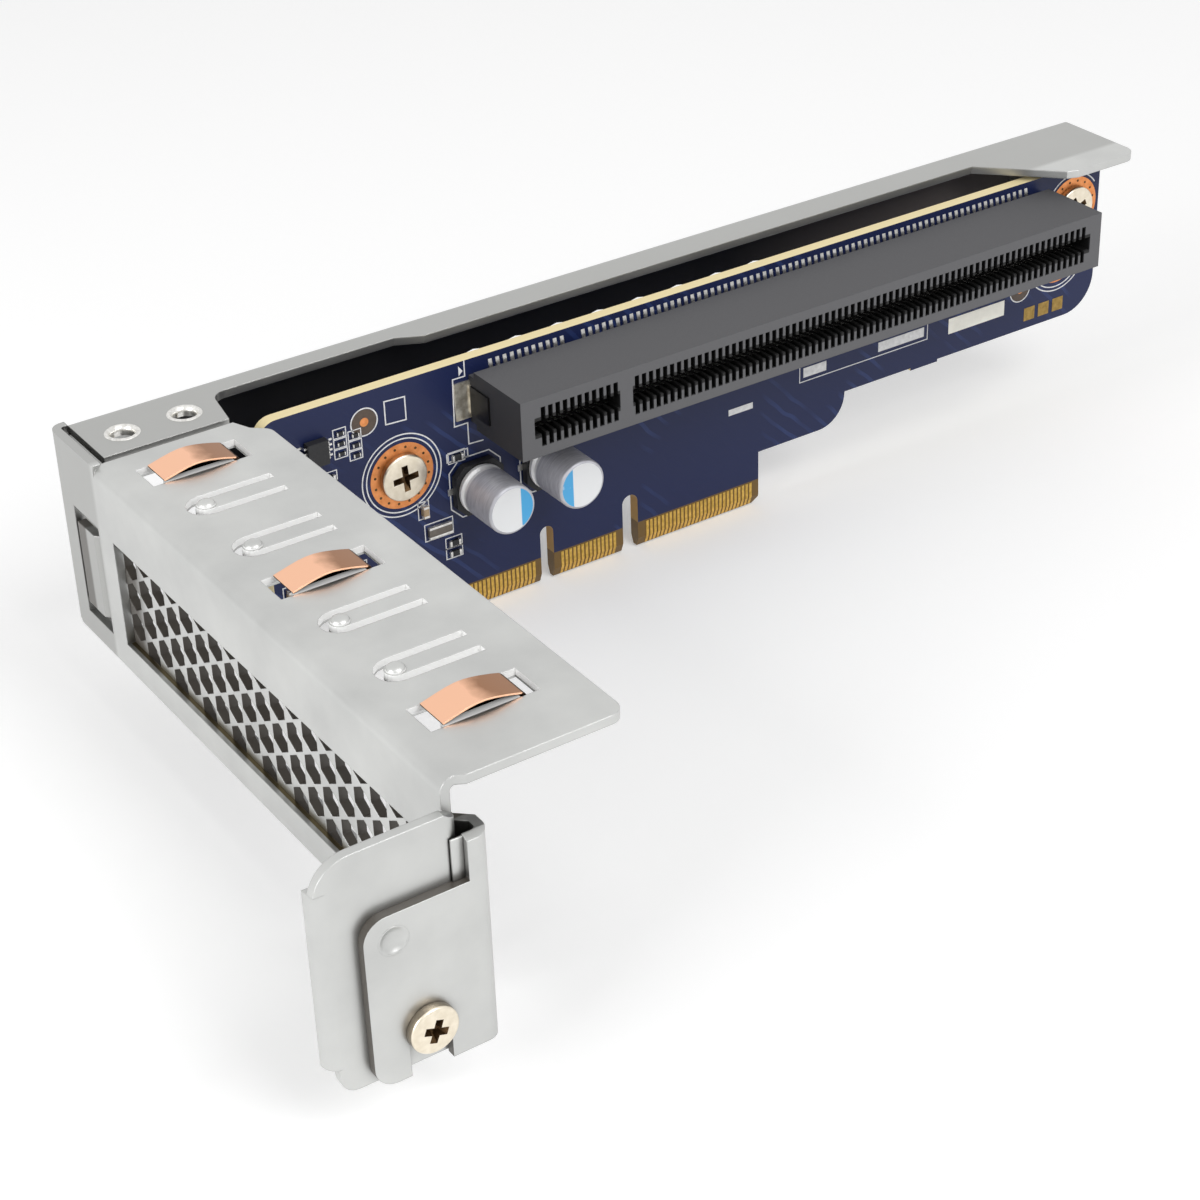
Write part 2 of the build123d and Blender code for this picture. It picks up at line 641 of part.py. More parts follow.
# Grounding springs
def build_spring(y):
    """Makes one arched spring on its foot plate, pushed up through a window of the flange."""
    left, right = SPRING_ARCH_X
    middle = (left + right) / 2
    under = FLANGE_UNDER - SPRING_STRIP
    crest = FRAME_TOP + SPRING_CREST
    in_left = left + SPRING_STRIP
    in_right = right - SPRING_STRIP
    outline = ThreePointArc((left, under), (middle, crest), (right, under))
    outline += Line((right, under), (in_right, under))
    outline += ThreePointArc((in_right, under), (middle, crest - SPRING_STRIP), (in_left, under))
    outline += Line((in_left, under), (left, under))
    half = SPRING_WINDOW_WIDTH / 2 - SPRING_PLAY
    spring = upright(make_face(outline), y - half, y + half)
    rim_half = SPRING_WINDOW_WIDTH / 2 + SPRING_RIM_SIDE
    return spring + box_between((left, right), (y - rim_half, y + rim_half), (under, FLANGE_UNDER))


# Board
def key_notch(left, right, top):
    """Draws one key notch, open at the gold edge and round at its top."""
    radius = (right - left) / 2
    notch = span((left, right), (EDGE_TIP - BOARD_THICK, top - radius))
    return notch + spot((left + right) / 2, top - radius) * Circle(radius)


def board_outline():
    """Draws the board with its stepped lower edge."""
    outline = polygon(
        (BOARD_X[0], BOARD_TOP),
        (BOARD_X[1], BOARD_TOP),
        (BOARD_X[1], BOARD_LOW_RIGHT),
        (BREAK_NUB[1], BOARD_LOW_RIGHT),
        (BREAK_NUB[1], BREAK_NUB[2]),
        (BREAK_NUB[0], BREAK_NUB[2]),
        (BREAK_NUB[0], BOARD_LOW_RIGHT),
        (BOARD_STEP_X, BOARD_LOW_RIGHT),
        (BOARD_STEP_X, BOARD_LOW_STEP),
        (EDGE_X[1], BOARD_LOW_STEP),
        (EDGE_X[1], EDGE_TIP + EDGE_CORNER),
        (EDGE_X[1] - EDGE_CORNER, EDGE_TIP),
        (EDGE_X[0] + EDGE_CORNER, EDGE_TIP),
        (EDGE_X[0], EDGE_TIP + EDGE_CORNER),
        (EDGE_X[0], BOARD_LOW_LEFT),
        (BOARD_X[0], BOARD_LOW_LEFT),
    )
    outline = rounded(outline, BOARD_FAR_RADIUS, (BOARD_X[1], BOARD_LOW_RIGHT))
    outline = rounded(outline, BOARD_STEP_RADIUS, (BOARD_STEP_X, BOARD_LOW_STEP))
    return rounded(outline, BOARD_NEAR_RADIUS, (BOARD_X[0], BOARD_TOP))


def build_board():
    """Cuts the board, its notches, its holes and its bevelled edge."""
    outline = board_outline()
    for notch in KEY_NOTCHES:
        outline -= key_notch(*notch)
    for centre in (NEAR_SCREW, FAR_SCREW):
        outline -= spot(*centre) * small_round(SCREW_RADIUS + SCREW_PLAY)
    outline -= spot(*OPEN_HOLE) * Circle(OPEN_HOLE_RADIUS)
    board = upright(outline, 0, BOARD_THICK)
    edge = polygon(
        (0, BOARD_TOP),
        (0, EDGE_TIP + EDGE_BEVEL_UP),
        (EDGE_BEVEL_IN, EDGE_TIP),
        (BOARD_THICK - EDGE_BEVEL_IN, EDGE_TIP),
        (BOARD_THICK, EDGE_TIP + EDGE_BEVEL_UP),
        (BOARD_THICK, BOARD_TOP),
    )
    return board & crosswise(edge, *BOARD_X)


def build_edge_contacts():
    """Lays the gold fingers along the edge of the board's component face."""
    fingers = []
    for start, count in zip(FINGER_STARTS, FINGER_COUNTS):
        for i in range(count):
            x = start + i * FINGER_PITCH
            x_range = (x - FINGER_WIDTH / 2, x + FINGER_WIDTH / 2)
            fingers.append(box_between(x_range, (-PLATING, 0), FINGER_Z))
    return fingers


# Card slot
def slot_stretches():
    """Gives the X ranges of the slot on both sides of its key."""
    key = (KEY_CENTRE - KEY_WIDTH / 2, KEY_CENTRE + KEY_WIDTH / 2)
    return ((SLOT_END_WALL, key[0]), (key[1], SLOT_LENGTH - SLOT_END_WALL))


def build_housing():
    """Moulds the slot's housing: its mouth, the ribs between contacts and their room below."""
    half = SLOT_WIDTH / 2
    mouth_half = SLOT_MOUTH / 2
    base = -SLOT_STANDOFF
    ribs_end = -SLOT_HEIGHT + RIB_DEPTH
    floor = -SLOT_HEIGHT + SLOT_DEPTH
    housing = box_between((0, SLOT_LENGTH), (-SLOT_HEIGHT, base), (-half, half))
    cavity = Rectangle(CAVITY_WIDTH, 2 * CAVITY_REACH)
    opening = Sketch() + [spot(x, 0) * cavity for x in contact_places()]
    for stretch in slot_stretches():
        opening += span(stretch, (-mouth_half, mouth_half))
    housing -= upright(opening, -SLOT_HEIGHT, ribs_end)
    for stretch in slot_stretches():
        housing -= box_between(stretch, (ribs_end, floor), (-CAVITY_REACH, CAVITY_REACH))
        for side in (1, -1):
            across = sorted((side * CAVITY_REACH, side * (CAVITY_REACH - CONTACT_SLIT)))
            housing -= box_between(stretch, (floor, base), across)
    foot_half = FOOT_WIDTH / 2
    for x_range in ((0, FOOT_LENGTH), (SLOT_LENGTH - FOOT_LENGTH, SLOT_LENGTH)):
        housing += box_between(x_range, (base, 0), (-foot_half, foot_half))
    return housing


def contact_profile():
    """Draws one contact in Y and Z: a soldered foot and a blade that leans into the slot."""
    wall = CAVITY_REACH - CONTACT_WALL_PLAY
    tip = -SLOT_HEIGHT + CONTACT_TIP_DEPTH
    return polygon(
        (0, CONTACT_FOOT_END),
        (0, wall - CONTACT_THICK),
        (tip, CONTACT_TIP_Z),
        (-CONTACT_FOOT_RISE, wall),
    )


def build_contacts(side):
    """Makes one row of contacts, above the slot for side 1 and below it for side -1."""
    profile = contact_profile()
    if side < 0:
        profile = mirror(profile, about=Plane.XZ)
    half = CONTACT_WIDTH / 2
    return [crosswise(profile, x - half, x + half) for x in contact_places()]


def build_hold_downs():
    """Makes the soldered tab at each end of the housing."""
    tabs = []
    half = HOLD_DOWN_WIDTH / 2
    for edge, way in ((0, -1), (SLOT_LENGTH, 1)):
        foot = sorted((edge, edge + way * HOLD_DOWN_LENGTH))
        riser = sorted((edge, edge + way * HOLD_DOWN_THICK))
        tab = box_between(foot, (-HOLD_DOWN_THICK, 0), (-half, half))
        neck = (-half + HOLD_DOWN_NECK, half - HOLD_DOWN_NECK)
        tab += box_between(riser, (-HOLD_DOWN_RISE, 0), neck)
        tabs.append(tab)
    return tabs


# Capacitors
def build_can(centre):
    """Makes one can, standing out from its base."""
    return upright(spot(*centre) * Circle(CAN_RADIUS), -CAN_TOP, -CAN_LEAD[2] - CAN_BASE_THICK)


def build_can_base(centre):
    """Moulds the base under one can, with its corners cut away."""
    outline = chamfer(Rectangle(CAN_BASE, CAN_BASE).vertices(), CAN_BASE_CHAMFER)
    low = -CAN_LEAD[2] - CAN_BASE_THICK
    return upright(spot(*centre) * outline, low, -CAN_LEAD[2])


def build_can_leads():
    """Lays the flat terminals under both bases."""
    leads = []
    width, length, thick = CAN_LEAD
    for centre in (CAN_LEFT, CAN_RIGHT):
        for way in (-1, 1):
            outer = centre[0] + way * CAN_LEAD_REACH
            x_range = sorted((outer, outer - way * length))
            z_range = (centre[1] - width / 2, centre[1] + width / 2)
            leads.append(box_between(x_range, (-thick, 0), z_range))
    return leads


# Chips and small parts
def build_chip(chip):
    """Moulds one chip body."""
    outline = spot(*chip["centre"]) * Rectangle(*chip["size"])
    return upright(outline, -CHIP_STANDOFF - CHIP_HEIGHT, -CHIP_STANDOFF)


def lead_profile(chip):
    """Draws one chip lead in X and Y, from the chip's side down to the board."""
    body = chip["size"][0] / 2
    foot = chip["span"] / 2
    bend = (body + foot) / 2
    return polygon(
        (body, -LEAD_RISE),
        (bend, 0),
        (foot, 0),
        (body, -LEAD_RISE - LEAD_THICK),
    )


def build_chip_leads(chip):
    """Makes the leads along both sides of one chip."""
    leads = []
    first = -(chip["leads"] - 1) / 2 * LEAD_PITCH
    profile = lead_profile(chip)
    other_side = mirror(profile, about=Plane.YZ)
    for i in range(chip["leads"]):
        z = chip["centre"][1] + first + i * LEAD_PITCH
        for drawing in (profile, other_side):
            placed = spot(chip["centre"][0], 0) * drawing
            leads.append(level(placed, z - LEAD_WIDTH / 2, z + LEAD_WIDTH / 2))
    return leads


def small_parts(places, size):
    """Lays a block of the given length, width and height at each place."""
    length, width, height = size
    blocks = []
    for x, z in places:
        x_range = (x - length / 2, x + length / 2)
        blocks.append(box_between(x_range, (-height, 0), (z - width / 2, z + width / 2)))
    return blocks


def build_chip_resistors():
    """Lays the small flat parts round the chips and near the screw."""
    return small_parts(SMALL_GRID, SMALL_PART) + small_parts(MIDDLE_COLUMN + MIDDLE_OTHERS, MIDDLE_PART)


def build_chip_capacitors():
    """Lays the upright parts along the lower edge and beside the screw."""
    row = [(UPRIGHT_ROW_START + i * UPRIGHT_ROW_PITCH, UPRIGHT_ROW_Z) for i in range(UPRIGHT_ROW_COUNT)]
    return small_parts(row + UPRIGHT_OTHERS, UPRIGHT_PART)


# Fasteners
def build_screw(centre, seat, head, length):
    """Makes one screw that faces the component side, with its head seated at the given Y."""
    head_radius, head_height = head
    screw = upright(spot(*centre) * Circle(head_radius), seat - head_height, seat)
    return screw + upright(spot(*centre) * Circle(SCREW_RADIUS), seat, seat + length)


def build_standoff(centre):
    """Makes one six-sided standoff that fills the room between the board's back and the wall."""
    outline = RegularPolygon(STANDOFF_FLATS / 2, 6, major_radius=False)
    body = upright(spot(*centre) * outline, BOARD_THICK, WALL_IN)
    bore = spot(*centre) * Circle(SCREW_RADIUS + THREAD_PLAY)
    return body - upright(bore, BOARD_THICK, BOARD_THICK + STANDOFF_BORE_DEPTH)


def main():
    """Builds every piece and writes one file for each."""
    os.makedirs("parts", exist_ok=True)
    pieces = {
        "riser_board": build_board(),
        "edge_contacts": build_edge_contacts(),
        "slot_housing": build_housing(),
        "upper_slot_contacts": build_contacts(1),
        "lower_slot_contacts": build_contacts(-1),
        "slot_hold_downs": build_hold_downs(),
        "capacitor_can_left": build_can(CAN_LEFT),
        "capacitor_can_right": build_can(CAN_RIGHT),
        "capacitor_base_left": build_can_base(CAN_LEFT),
        "capacitor_base_right": build_can_base(CAN_RIGHT),
        "capacitor_leads": build_can_leads(),
        "buffer_chip": build_chip(BUFFER),
        "buffer_chip_leads": build_chip_leads(BUFFER),
        "switch_chip": build_chip(SWITCH),
        "switch_chip_leads": build_chip_leads(SWITCH),
        "chip_resistors": build_chip_resistors(),
        "chip_capacitors": build_chip_capacitors(),
        "sense_resistor": small_parts([SENSE_CENTRE], SENSE_SIZE),
        "riser_bracket": build_bracket(),
        "vent_plate": build_vent_plate(),
        "standoff_near": build_standoff(NEAR_SCREW),
        "standoff_far": build_standoff(FAR_SCREW),
        "board_screw_near": build_screw(NEAR_SCREW, 0, BOARD_HEAD, BOARD_SCREW_LENGTH),
        "board_screw_far": build_screw(FAR_SCREW, 0, BOARD_HEAD, BOARD_SCREW_LENGTH),
        "vent_plate_screw": build_screw(TAB_SCREW, TAB_FRONT, TAB_HEAD, TAB_SCREW_LENGTH),
    }
    for name, y in SPRING_Y.items():
        pieces["grounding_spring_" + name] = build_spring(y)
    for name, piece in pieces.items():
        solid = Compound(children=piece) if isinstance(piece, list) else piece
        export_step(solid, "parts/" + name + ".step")


main()
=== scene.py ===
# %% [markdown]
# # A riser card on its slot bracket
# A riser card turns an expansion card on its side so that it fits a low server. The real object is a
# navy printed board with one long card slot, screwed to a frame folded from zinc plated sheet steel.
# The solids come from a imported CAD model. This lesson loads them as a frame that never moves, gives
# each one its finish, and adds the fine work that a CAD solid leaves out.

import json
import math

import bmesh
import bpy
from mathutils import Matrix, Vector


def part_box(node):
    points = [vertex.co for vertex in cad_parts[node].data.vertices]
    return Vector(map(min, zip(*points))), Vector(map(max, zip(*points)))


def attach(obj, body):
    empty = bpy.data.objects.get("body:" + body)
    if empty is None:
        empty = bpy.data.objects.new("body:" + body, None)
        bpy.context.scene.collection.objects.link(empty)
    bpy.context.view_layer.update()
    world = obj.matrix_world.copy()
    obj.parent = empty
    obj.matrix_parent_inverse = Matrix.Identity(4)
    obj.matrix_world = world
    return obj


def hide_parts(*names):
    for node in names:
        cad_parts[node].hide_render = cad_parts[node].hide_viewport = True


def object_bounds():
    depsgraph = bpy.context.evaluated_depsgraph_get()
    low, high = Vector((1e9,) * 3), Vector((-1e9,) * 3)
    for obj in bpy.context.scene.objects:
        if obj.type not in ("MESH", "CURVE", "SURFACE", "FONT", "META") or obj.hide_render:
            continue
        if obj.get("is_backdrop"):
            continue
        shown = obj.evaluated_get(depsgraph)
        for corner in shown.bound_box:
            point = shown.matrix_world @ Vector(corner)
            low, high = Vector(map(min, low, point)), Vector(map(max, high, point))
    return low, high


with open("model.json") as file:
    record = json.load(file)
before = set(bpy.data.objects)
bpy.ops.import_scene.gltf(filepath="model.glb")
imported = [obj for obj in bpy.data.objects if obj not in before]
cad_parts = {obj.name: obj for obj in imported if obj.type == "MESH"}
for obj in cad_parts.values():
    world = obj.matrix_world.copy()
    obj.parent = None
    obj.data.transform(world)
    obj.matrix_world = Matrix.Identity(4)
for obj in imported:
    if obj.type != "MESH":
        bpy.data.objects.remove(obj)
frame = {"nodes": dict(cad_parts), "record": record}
nodes = frame["nodes"]
cad_low, cad_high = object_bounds()
MM = 0.001
print("loaded", len(nodes), "nodes, size in mm", [round(v / MM, 1) for v in cad_high - cad_low])

# %% [markdown]
# ## Places read from the model
# Every added piece sits on a CAD solid. Reading the solids' own boxes, and not typing their places a
# second time, keeps an added piece seated when the model changes. A node that holds several separate
# solids is split into its loose parts first, so that each part gives its own box.


# %% Boxes of the loose parts of a node
def loose_boxes(node_name):
    """Gives the lowest and highest corner of each separate part of a node, from left to right."""
    mesh = nodes[node_name].data
    bm = bmesh.new()
    bm.from_mesh(mesh)
    bmesh.ops.remove_doubles(bm, verts=bm.verts, dist=0.001 * MM)
    boxes = []
    waiting = set(bm.verts)
    while waiting:
        group = [waiting.pop()]
        corners = []
        while group:
            vert = group.pop()
            corners.append(vert.co.copy())
            for edge in vert.link_edges:
                other = edge.other_vert(vert)
                if other in waiting:
                    waiting.remove(other)
                    group.append(other)
        low = Vector([min(c[axis] for c in corners) for axis in range(3)])
        high = Vector([max(c[axis] for c in corners) for axis in range(3)])
        boxes.append((low, high))
    bm.free()
    return sorted(boxes, key=lambda pair: tuple(pair[0]))


def middle(node_name):
    """Gives the centre of a node's box."""
    low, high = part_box(node_name)
    return (Vector(low) + Vector(high)) / 2


small_boxes = loose_boxes("chip_resistors")
print("small flat parts:", len(small_boxes))

# %% [markdown]
# ## Levels that several pieces share
# The top of the folded frame, the outside of its wall and the back of the board are each used by
# several pieces and masks. They are read once here, from the mounts and the boxes of the solids, in
# the millimetres that this lesson works in. Only the sheet's thickness is typed.

# %% Shared levels
corner_mount = next(mount for mount in frame["record"]["mounts"] if mount["name"] == "corner_holes")
FRAME_TOP_MM = corner_mount["pos_m"][2] / MM
WALL_OUT_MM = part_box("riser_bracket")[1][1] / MM
BOARD_BACK_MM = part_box("riser_board")[1][1] / MM
SHEET_MM = 1.0
print("frame top", round(FRAME_TOP_MM, 2), "wall", round(WALL_OUT_MM, 2), "board", round(BOARD_BACK_MM, 2))

# %% [markdown]
# ## Node helpers for the finishes
# A finish is a small tree of shader nodes. It could be wired by hand in the node editor, but the same
# few steps come back in every finish, so short helpers do them: one adds a node, one starts an empty
# finish, one feeds the shader's sockets and one writes a colour.


# %% Helpers that build shader trees
def add_node(tree, kind, inputs=(), **settings):
    """Adds one shader node, sets its options and feeds its sockets with values or with other sockets."""
    made = tree.nodes.new("ShaderNode" + kind)
    for name, value in settings.items():
        setattr(made, name, value)
    for name, value in dict(inputs).items():
        if isinstance(value, bpy.types.NodeSocket):
            tree.links.new(value, made.inputs[name])
        else:
            made.inputs[name].default_value = value
    return made


def start_finish(name, metallic=0.0, roughness=0.5, specular=0.5, coat=0.0):
    """Makes an empty finish and gives its material, its tree and its shader."""
    material = bpy.data.materials.new(name)
    material.use_nodes = True
    tree = material.node_tree
    shader = tree.nodes["Principled BSDF"]
    shader.inputs["Metallic"].default_value = metallic
    shader.inputs["Roughness"].default_value = roughness
    shader.inputs["Specular IOR Level"].default_value = specular
    shader.inputs["Coat Weight"].default_value = coat
    return material, tree, shader


def feed(tree, shader, **sockets):
    """Links values to the shader's sockets by name."""
    for name, value in sockets.items():
        tree.links.new(value, shader.inputs[name.replace("_", " ")])


def colour(red, green, blue):
    """Writes a colour with full opacity."""
    return (red, green, blue, 1.0)


print("tree helpers are ready")

# %% [markdown]
# ## Grain and masks
# Noise, ramps and masks all read object coordinates, which are metres in the model's own frame, so a
# grain keeps its true size on every piece. A mask is a value from 0 to 1 that picks out a part of the
# surface by its place or its direction.


# %% Helpers for grain and masks
def object_place(tree, stretch=(1.0, 1.0, 1.0)):
    """Gives the place on the object in metres, stretched where a grain runs one way."""
    source = add_node(tree, "TexCoord").outputs["Object"]
    return add_node(tree, "Mapping", {"Vector": source, "Scale": stretch}).outputs["Vector"]


def grain(tree, size_mm, detail=3.0, stretch=(1.0, 1.0, 1.0)):
    """Gives a noise value whose blotches are about the given size."""
    inputs = {"Vector": object_place(tree, stretch), "Scale": 1.0 / (size_mm * MM), "Detail": detail}
    return add_node(tree, "TexNoise", inputs).outputs["Fac"]


def along(tree, axis):
    """Gives one coordinate of the place on the object, in millimetres."""
    split = add_node(tree, "SeparateXYZ", {"Vector": object_place(tree, (1 / MM, 1 / MM, 1 / MM))})
    return split.outputs[axis]


def facing(tree, axis):
    """Gives one part of the surface's own direction."""
    normal = add_node(tree, "TexCoord").outputs["Normal"]
    return add_node(tree, "SeparateXYZ", {"Vector": normal}).outputs[axis]


def between(tree, value, start, end):
    """Rises from 0 to 1 while the value goes from start to end."""
    inputs = {"Value": value, "From Min": start, "From Max": end}
    return add_node(tree, "MapRange", inputs, clamp=True).outputs["Result"]


def maths(tree, operation, first, second=0.0):
    """Works out one sum on two values."""
    return add_node(tree, "Math", {0: first, 1: second}, operation=operation).outputs["Value"]


print("grain helpers are ready")

# %% [markdown]
# ## Masks together
# Masks are combined like sets. The product of two masks keeps what both keep, and the larger of two
# keeps what either keeps. Two more helpers put a mask or a grain to use: one mixes two colours, and
# one raises a fine relief on the surface.


# %% Helpers for masks, colours and relief
def all_of(tree, *masks):
    """Keeps what every mask keeps."""
    kept = masks[0]
    for mask in masks[1:]:
        kept = maths(tree, "MULTIPLY", kept, mask)
    return kept


def any_of(tree, *masks):
    """Keeps what at least one mask keeps."""
    kept = masks[0]
    for mask in masks[1:]:
        kept = maths(tree, "MAXIMUM", kept, mask)
    return kept


def within(tree, value, low, high, soft):
    """Is 1 while the value lies between two limits, with a soft rise inside each."""
    return all_of(tree, between(tree, value, low, low + soft), between(tree, value, high, high - soft))


def size_of(tree, value):
    """Drops the sign of a value."""
    return maths(tree, "ABSOLUTE", value)


def blend(tree, factor, first, second):
    """Mixes two colours."""
    made = add_node(tree, "Mix", {0: factor, 6: first, 7: second}, data_type="RGBA")
    return made.outputs[2]


def rough_skin(tree, shader, height, depth_mm, soften_mm=0.0):
    """Adds a fine relief, and rounds edges in the shading by the given radius."""
    inputs = {"Height": height, "Distance": depth_mm * MM, "Strength": 1.0}
    if soften_mm:
        inputs["Normal"] = add_node(tree, "Bevel", {"Radius": soften_mm * MM}, samples=4).outputs["Normal"]
    tree.links.new(add_node(tree, "Bump", inputs).outputs["Normal"], shader.inputs["Normal"])


print("mask, colour and relief helpers are ready")

# %% [markdown]
# ## Zinc plated sheet steel
# The frame and the vent plate are bright zinc plated steel with a satin face: light grey, slightly
# mottled, with faint rolling lines along the sheet. It could be one flat metallic grey, but plated
# steel shows cloudy patches of roughness, so noise drives both the colour and the roughness. Masks
# do the rest: the metal behind the board's face is mixed to a darker grey, the faces that look into
# the frame or down get painted shade, an occlusion node paints shade into creases, and the wall's
# inner face is painted near black as shade, fading to grey towards its far end.

# %% Steel finish
ZINC_LIGHT = colour(0.63, 0.635, 0.62)
ZINC_DARK = colour(0.53, 0.535, 0.525)
ZINC_BEHIND_BOARD = colour(0.44, 0.442, 0.43)
ZINC_INSIDE_SHADE = colour(0.22, 0.222, 0.22)
ZINC_CREVICE_SHADE = colour(0.13, 0.125, 0.12)
WALL_SHADE_BLACK = colour(0.010, 0.010, 0.011)
WALL_SHADE_GREY = colour(0.115, 0.100, 0.094)
CLOUD_MM = 9.0
ROLLING_LINE_MM = 0.35
CREVICE_SHADE_MM = 2.2
BEHIND_BOARD_Y = (-0.3, 0.5)
SHELF_Y = (-72.6, -71.8)
WALL_SHADE_START_X = (-39.0, -33.0)
WALL_SHADE_FADE_X = (45.0, 84.0)
ZINC_ROUGHNESS = (0.30, 0.44)


def wall_shade_mask(tree):
    """Finds the wall's inner face, which gets painted shade, apart from its stretch near the corner."""
    wall_in = WALL_OUT_MM - SHEET_MM
    on_wall = between(tree, along(tree, "Y"), wall_in - 0.1, wall_in - 0.02)
    inward = between(tree, facing(tree, "Y"), -0.8, -0.95)
    return all_of(tree, on_wall, inward, between(tree, along(tree, "X"), *WALL_SHADE_START_X))


def inside_shade_mask(tree):
    """Finds the faces that look into the frame or down, short of the shelf, for painted shade."""
    down = maths(tree, "MULTIPLY", facing(tree, "Z"), -1.0)
    turned_in = between(tree, any_of(tree, facing(tree, "X"), down), 0.6, 0.9)
    return all_of(tree, turned_in, between(tree, along(tree, "Y"), *SHELF_Y))


def steel_finish(name, add_edge_tones):
    """Makes the zinc plated steel with its painted shade, and with the edge tones of one piece."""
    material, tree, shader = start_finish(name, metallic=1.0)
    clouds = grain(tree, CLOUD_MM, 5.0)
    lines = grain(tree, ROLLING_LINE_MM, 2.0, (0.04, 0.04, 1.0))
    tone = blend(tree, between(tree, clouds, 0.3, 0.7), ZINC_DARK, ZINC_LIGHT)
    # The metal behind the board's face is mixed to a darker grey.
    tone = blend(tree, between(tree, along(tree, "Y"), *BEHIND_BOARD_Y), tone, ZINC_BEHIND_BOARD)
    # Painted shade: faces that look into the frame or down are mixed to a dark grey.
    tone = blend(tree, inside_shade_mask(tree), tone, ZINC_INSIDE_SHADE)
    # Painted shade: an occlusion node darkens the steel in creases, corners and gaps.
    open_air = add_node(tree, "AmbientOcclusion", {"Distance": CREVICE_SHADE_MM * MM}, samples=6).outputs["AO"]
    tone = blend(tree, between(tree, open_air, 0.15, 0.85), ZINC_CREVICE_SHADE, tone)
    tone, edge_toned = add_edge_tones(tree, tone)
    # Painted shade: the wall's inner face, lit only through the slit behind the board, is coloured near
    # black, fading to grey at the far end.
    wall_shade = wall_shade_mask(tree)
    wall_shade_tone = blend(tree, between(tree, along(tree, "X"), *WALL_SHADE_FADE_X), WALL_SHADE_BLACK, WALL_SHADE_GREY)
    feed(tree, shader, Base_Color=blend(tree, wall_shade, tone, wall_shade_tone))
    feed(tree, shader, Metallic=maths(tree, "SUBTRACT", 1.0, any_of(tree, wall_shade, edge_toned)))
    smooth, rough = ZINC_ROUGHNESS
    spread = add_node(tree, "MapRange", {"Value": clouds, "To Min": smooth, "To Max": rough})
    feed(tree, shader, Roughness=spread.outputs["Result"])
    rough_skin(tree, shader, lines, 0.004, 0.18)
    return material


print("the steel's masks read a wall at", round(WALL_OUT_MM - SHEET_MM, 2), "mm")

# %% [markdown]
# ## Painted light and shade on the cut edges
# A punched edge differs from the plated face. On the frame, the walls of the slots in the arm's flange
# are painted near white as a highlight, and the window's lower edge is stained olive. On the vent
# plate, the walls of the holes, the margin past the honeycomb, one side of the tongue and the rim of
# the screw tab get painted shade. All this is tone on faces that the solids already have, so each is
# one more mask.

# %% Painted highlight and stain of the frame, painted shade of the vent plate
ZINC_CUT_HIGHLIGHT = colour(0.95, 0.95, 0.94)
ZINC_SHADE = colour(0.075, 0.066, 0.056)
OLIVE_EDGE = colour(0.14, 0.11, 0.055)
ARM_FLANGE_X = (-45.0, -30.4)
ARM_FLANGE_Y = (-72.2, -0.9)
CUT_HIGHLIGHT_DEPTH_MM = 0.78
SILL_X = (-46.72, -46.66)
SILL_Z = (-14.5, -14.3)
HONEYCOMB_Y = (-72.0, -1.0)
MARGIN_Y = (-8.4, -5.6)
MARGIN_SHADE = 0.95
TONGUE_SHADE_Y = (3.9, 4.4)
TONGUE_SHADE = 0.9
TAB_BACK_Y = -73.0
TAB_TOP_Z = -2.7


def frame_highlight_and_stain(tree, tone):
    """Paints a highlight on the cut walls of the flange's slots, and stains the window's lower edge."""
    z = along(tree, "Z")
    x = along(tree, "X")
    sill = all_of(
        tree,
        between(tree, facing(tree, "Z"), 0.7, 0.9),
        within(tree, z, *SILL_Z, 0.05),
        between(tree, x, *SILL_X),
    )
    # Painted highlight: the slots' cut walls are coloured near white, without metal sheen.
    lit_cut_walls = all_of(
        tree,
        within(tree, along(tree, "Y"), *ARM_FLANGE_Y, 0.3),
        within(tree, x, *ARM_FLANGE_X, 0.2),
        between(tree, size_of(tree, facing(tree, "Z")), 0.5, 0.3),
        between(tree, z, FRAME_TOP_MM - CUT_HIGHLIGHT_DEPTH_MM, FRAME_TOP_MM - CUT_HIGHLIGHT_DEPTH_MM + 0.06),
    )
    return blend(tree, lit_cut_walls, blend(tree, sill, tone, OLIVE_EDGE), ZINC_CUT_HIGHLIGHT), lit_cut_walls


def vent_painted_shade(tree, tone):
    """Paints shade on the walls of the holes, the plate's far margins, a side of the tongue and the tab's
    rim.
    """
    y = along(tree, "Y")
    honeycomb = within(tree, y, *HONEYCOMB_Y, 0.5)
    hole_walls = all_of(tree, honeycomb, between(tree, size_of(tree, facing(tree, "X")), 0.6, 0.4))
    margin = all_of(tree, honeycomb, between(tree, y, *MARGIN_Y), MARGIN_SHADE)
    tongue_side = all_of(tree, between(tree, y, *TONGUE_SHADE_Y), TONGUE_SHADE)
    tab = between(tree, y, TAB_BACK_Y + 0.05, TAB_BACK_Y - 0.05)
    tab = all_of(tree, tab, between(tree, along(tree, "Z"), TAB_TOP_Z, TAB_TOP_Z - 0.3))
    left_rim = between(tree, facing(tree, "X"), -0.45, -0.7)
    upper_rim = between(tree, facing(tree, "Z"), 0.45, 0.7)
    rim = all_of(tree, tab, any_of(tree, left_rim, upper_rim))
    # Painted shade: all these faces are mixed to a near black brown, without metal sheen.
    dark = any_of(tree, hole_walls, rim, margin, tongue_side)
    return blend(tree, dark, tone, ZINC_SHADE), dark


steel = steel_finish("zinc_plated_steel", frame_highlight_and_stain)
vent_steel = steel_finish("zinc_vent_steel", vent_painted_shade)
print("made", steel.name, "and", vent_steel.name)

# %% [markdown]
# ## Navy board with yellow edges
# A printed board is yellow glass laminate between two skins of copper, under a glossy navy lacquer.
# The lacquer hides everything but faint copper traces, which read as slightly lighter lines, and the
# bare laminate shows only on the cut edges. One finish does it all: a mask from the surface's
# direction finds the edges, a wave texture broken up by noise gives the traces, and the height marks
# the brown field under the gold fingers.

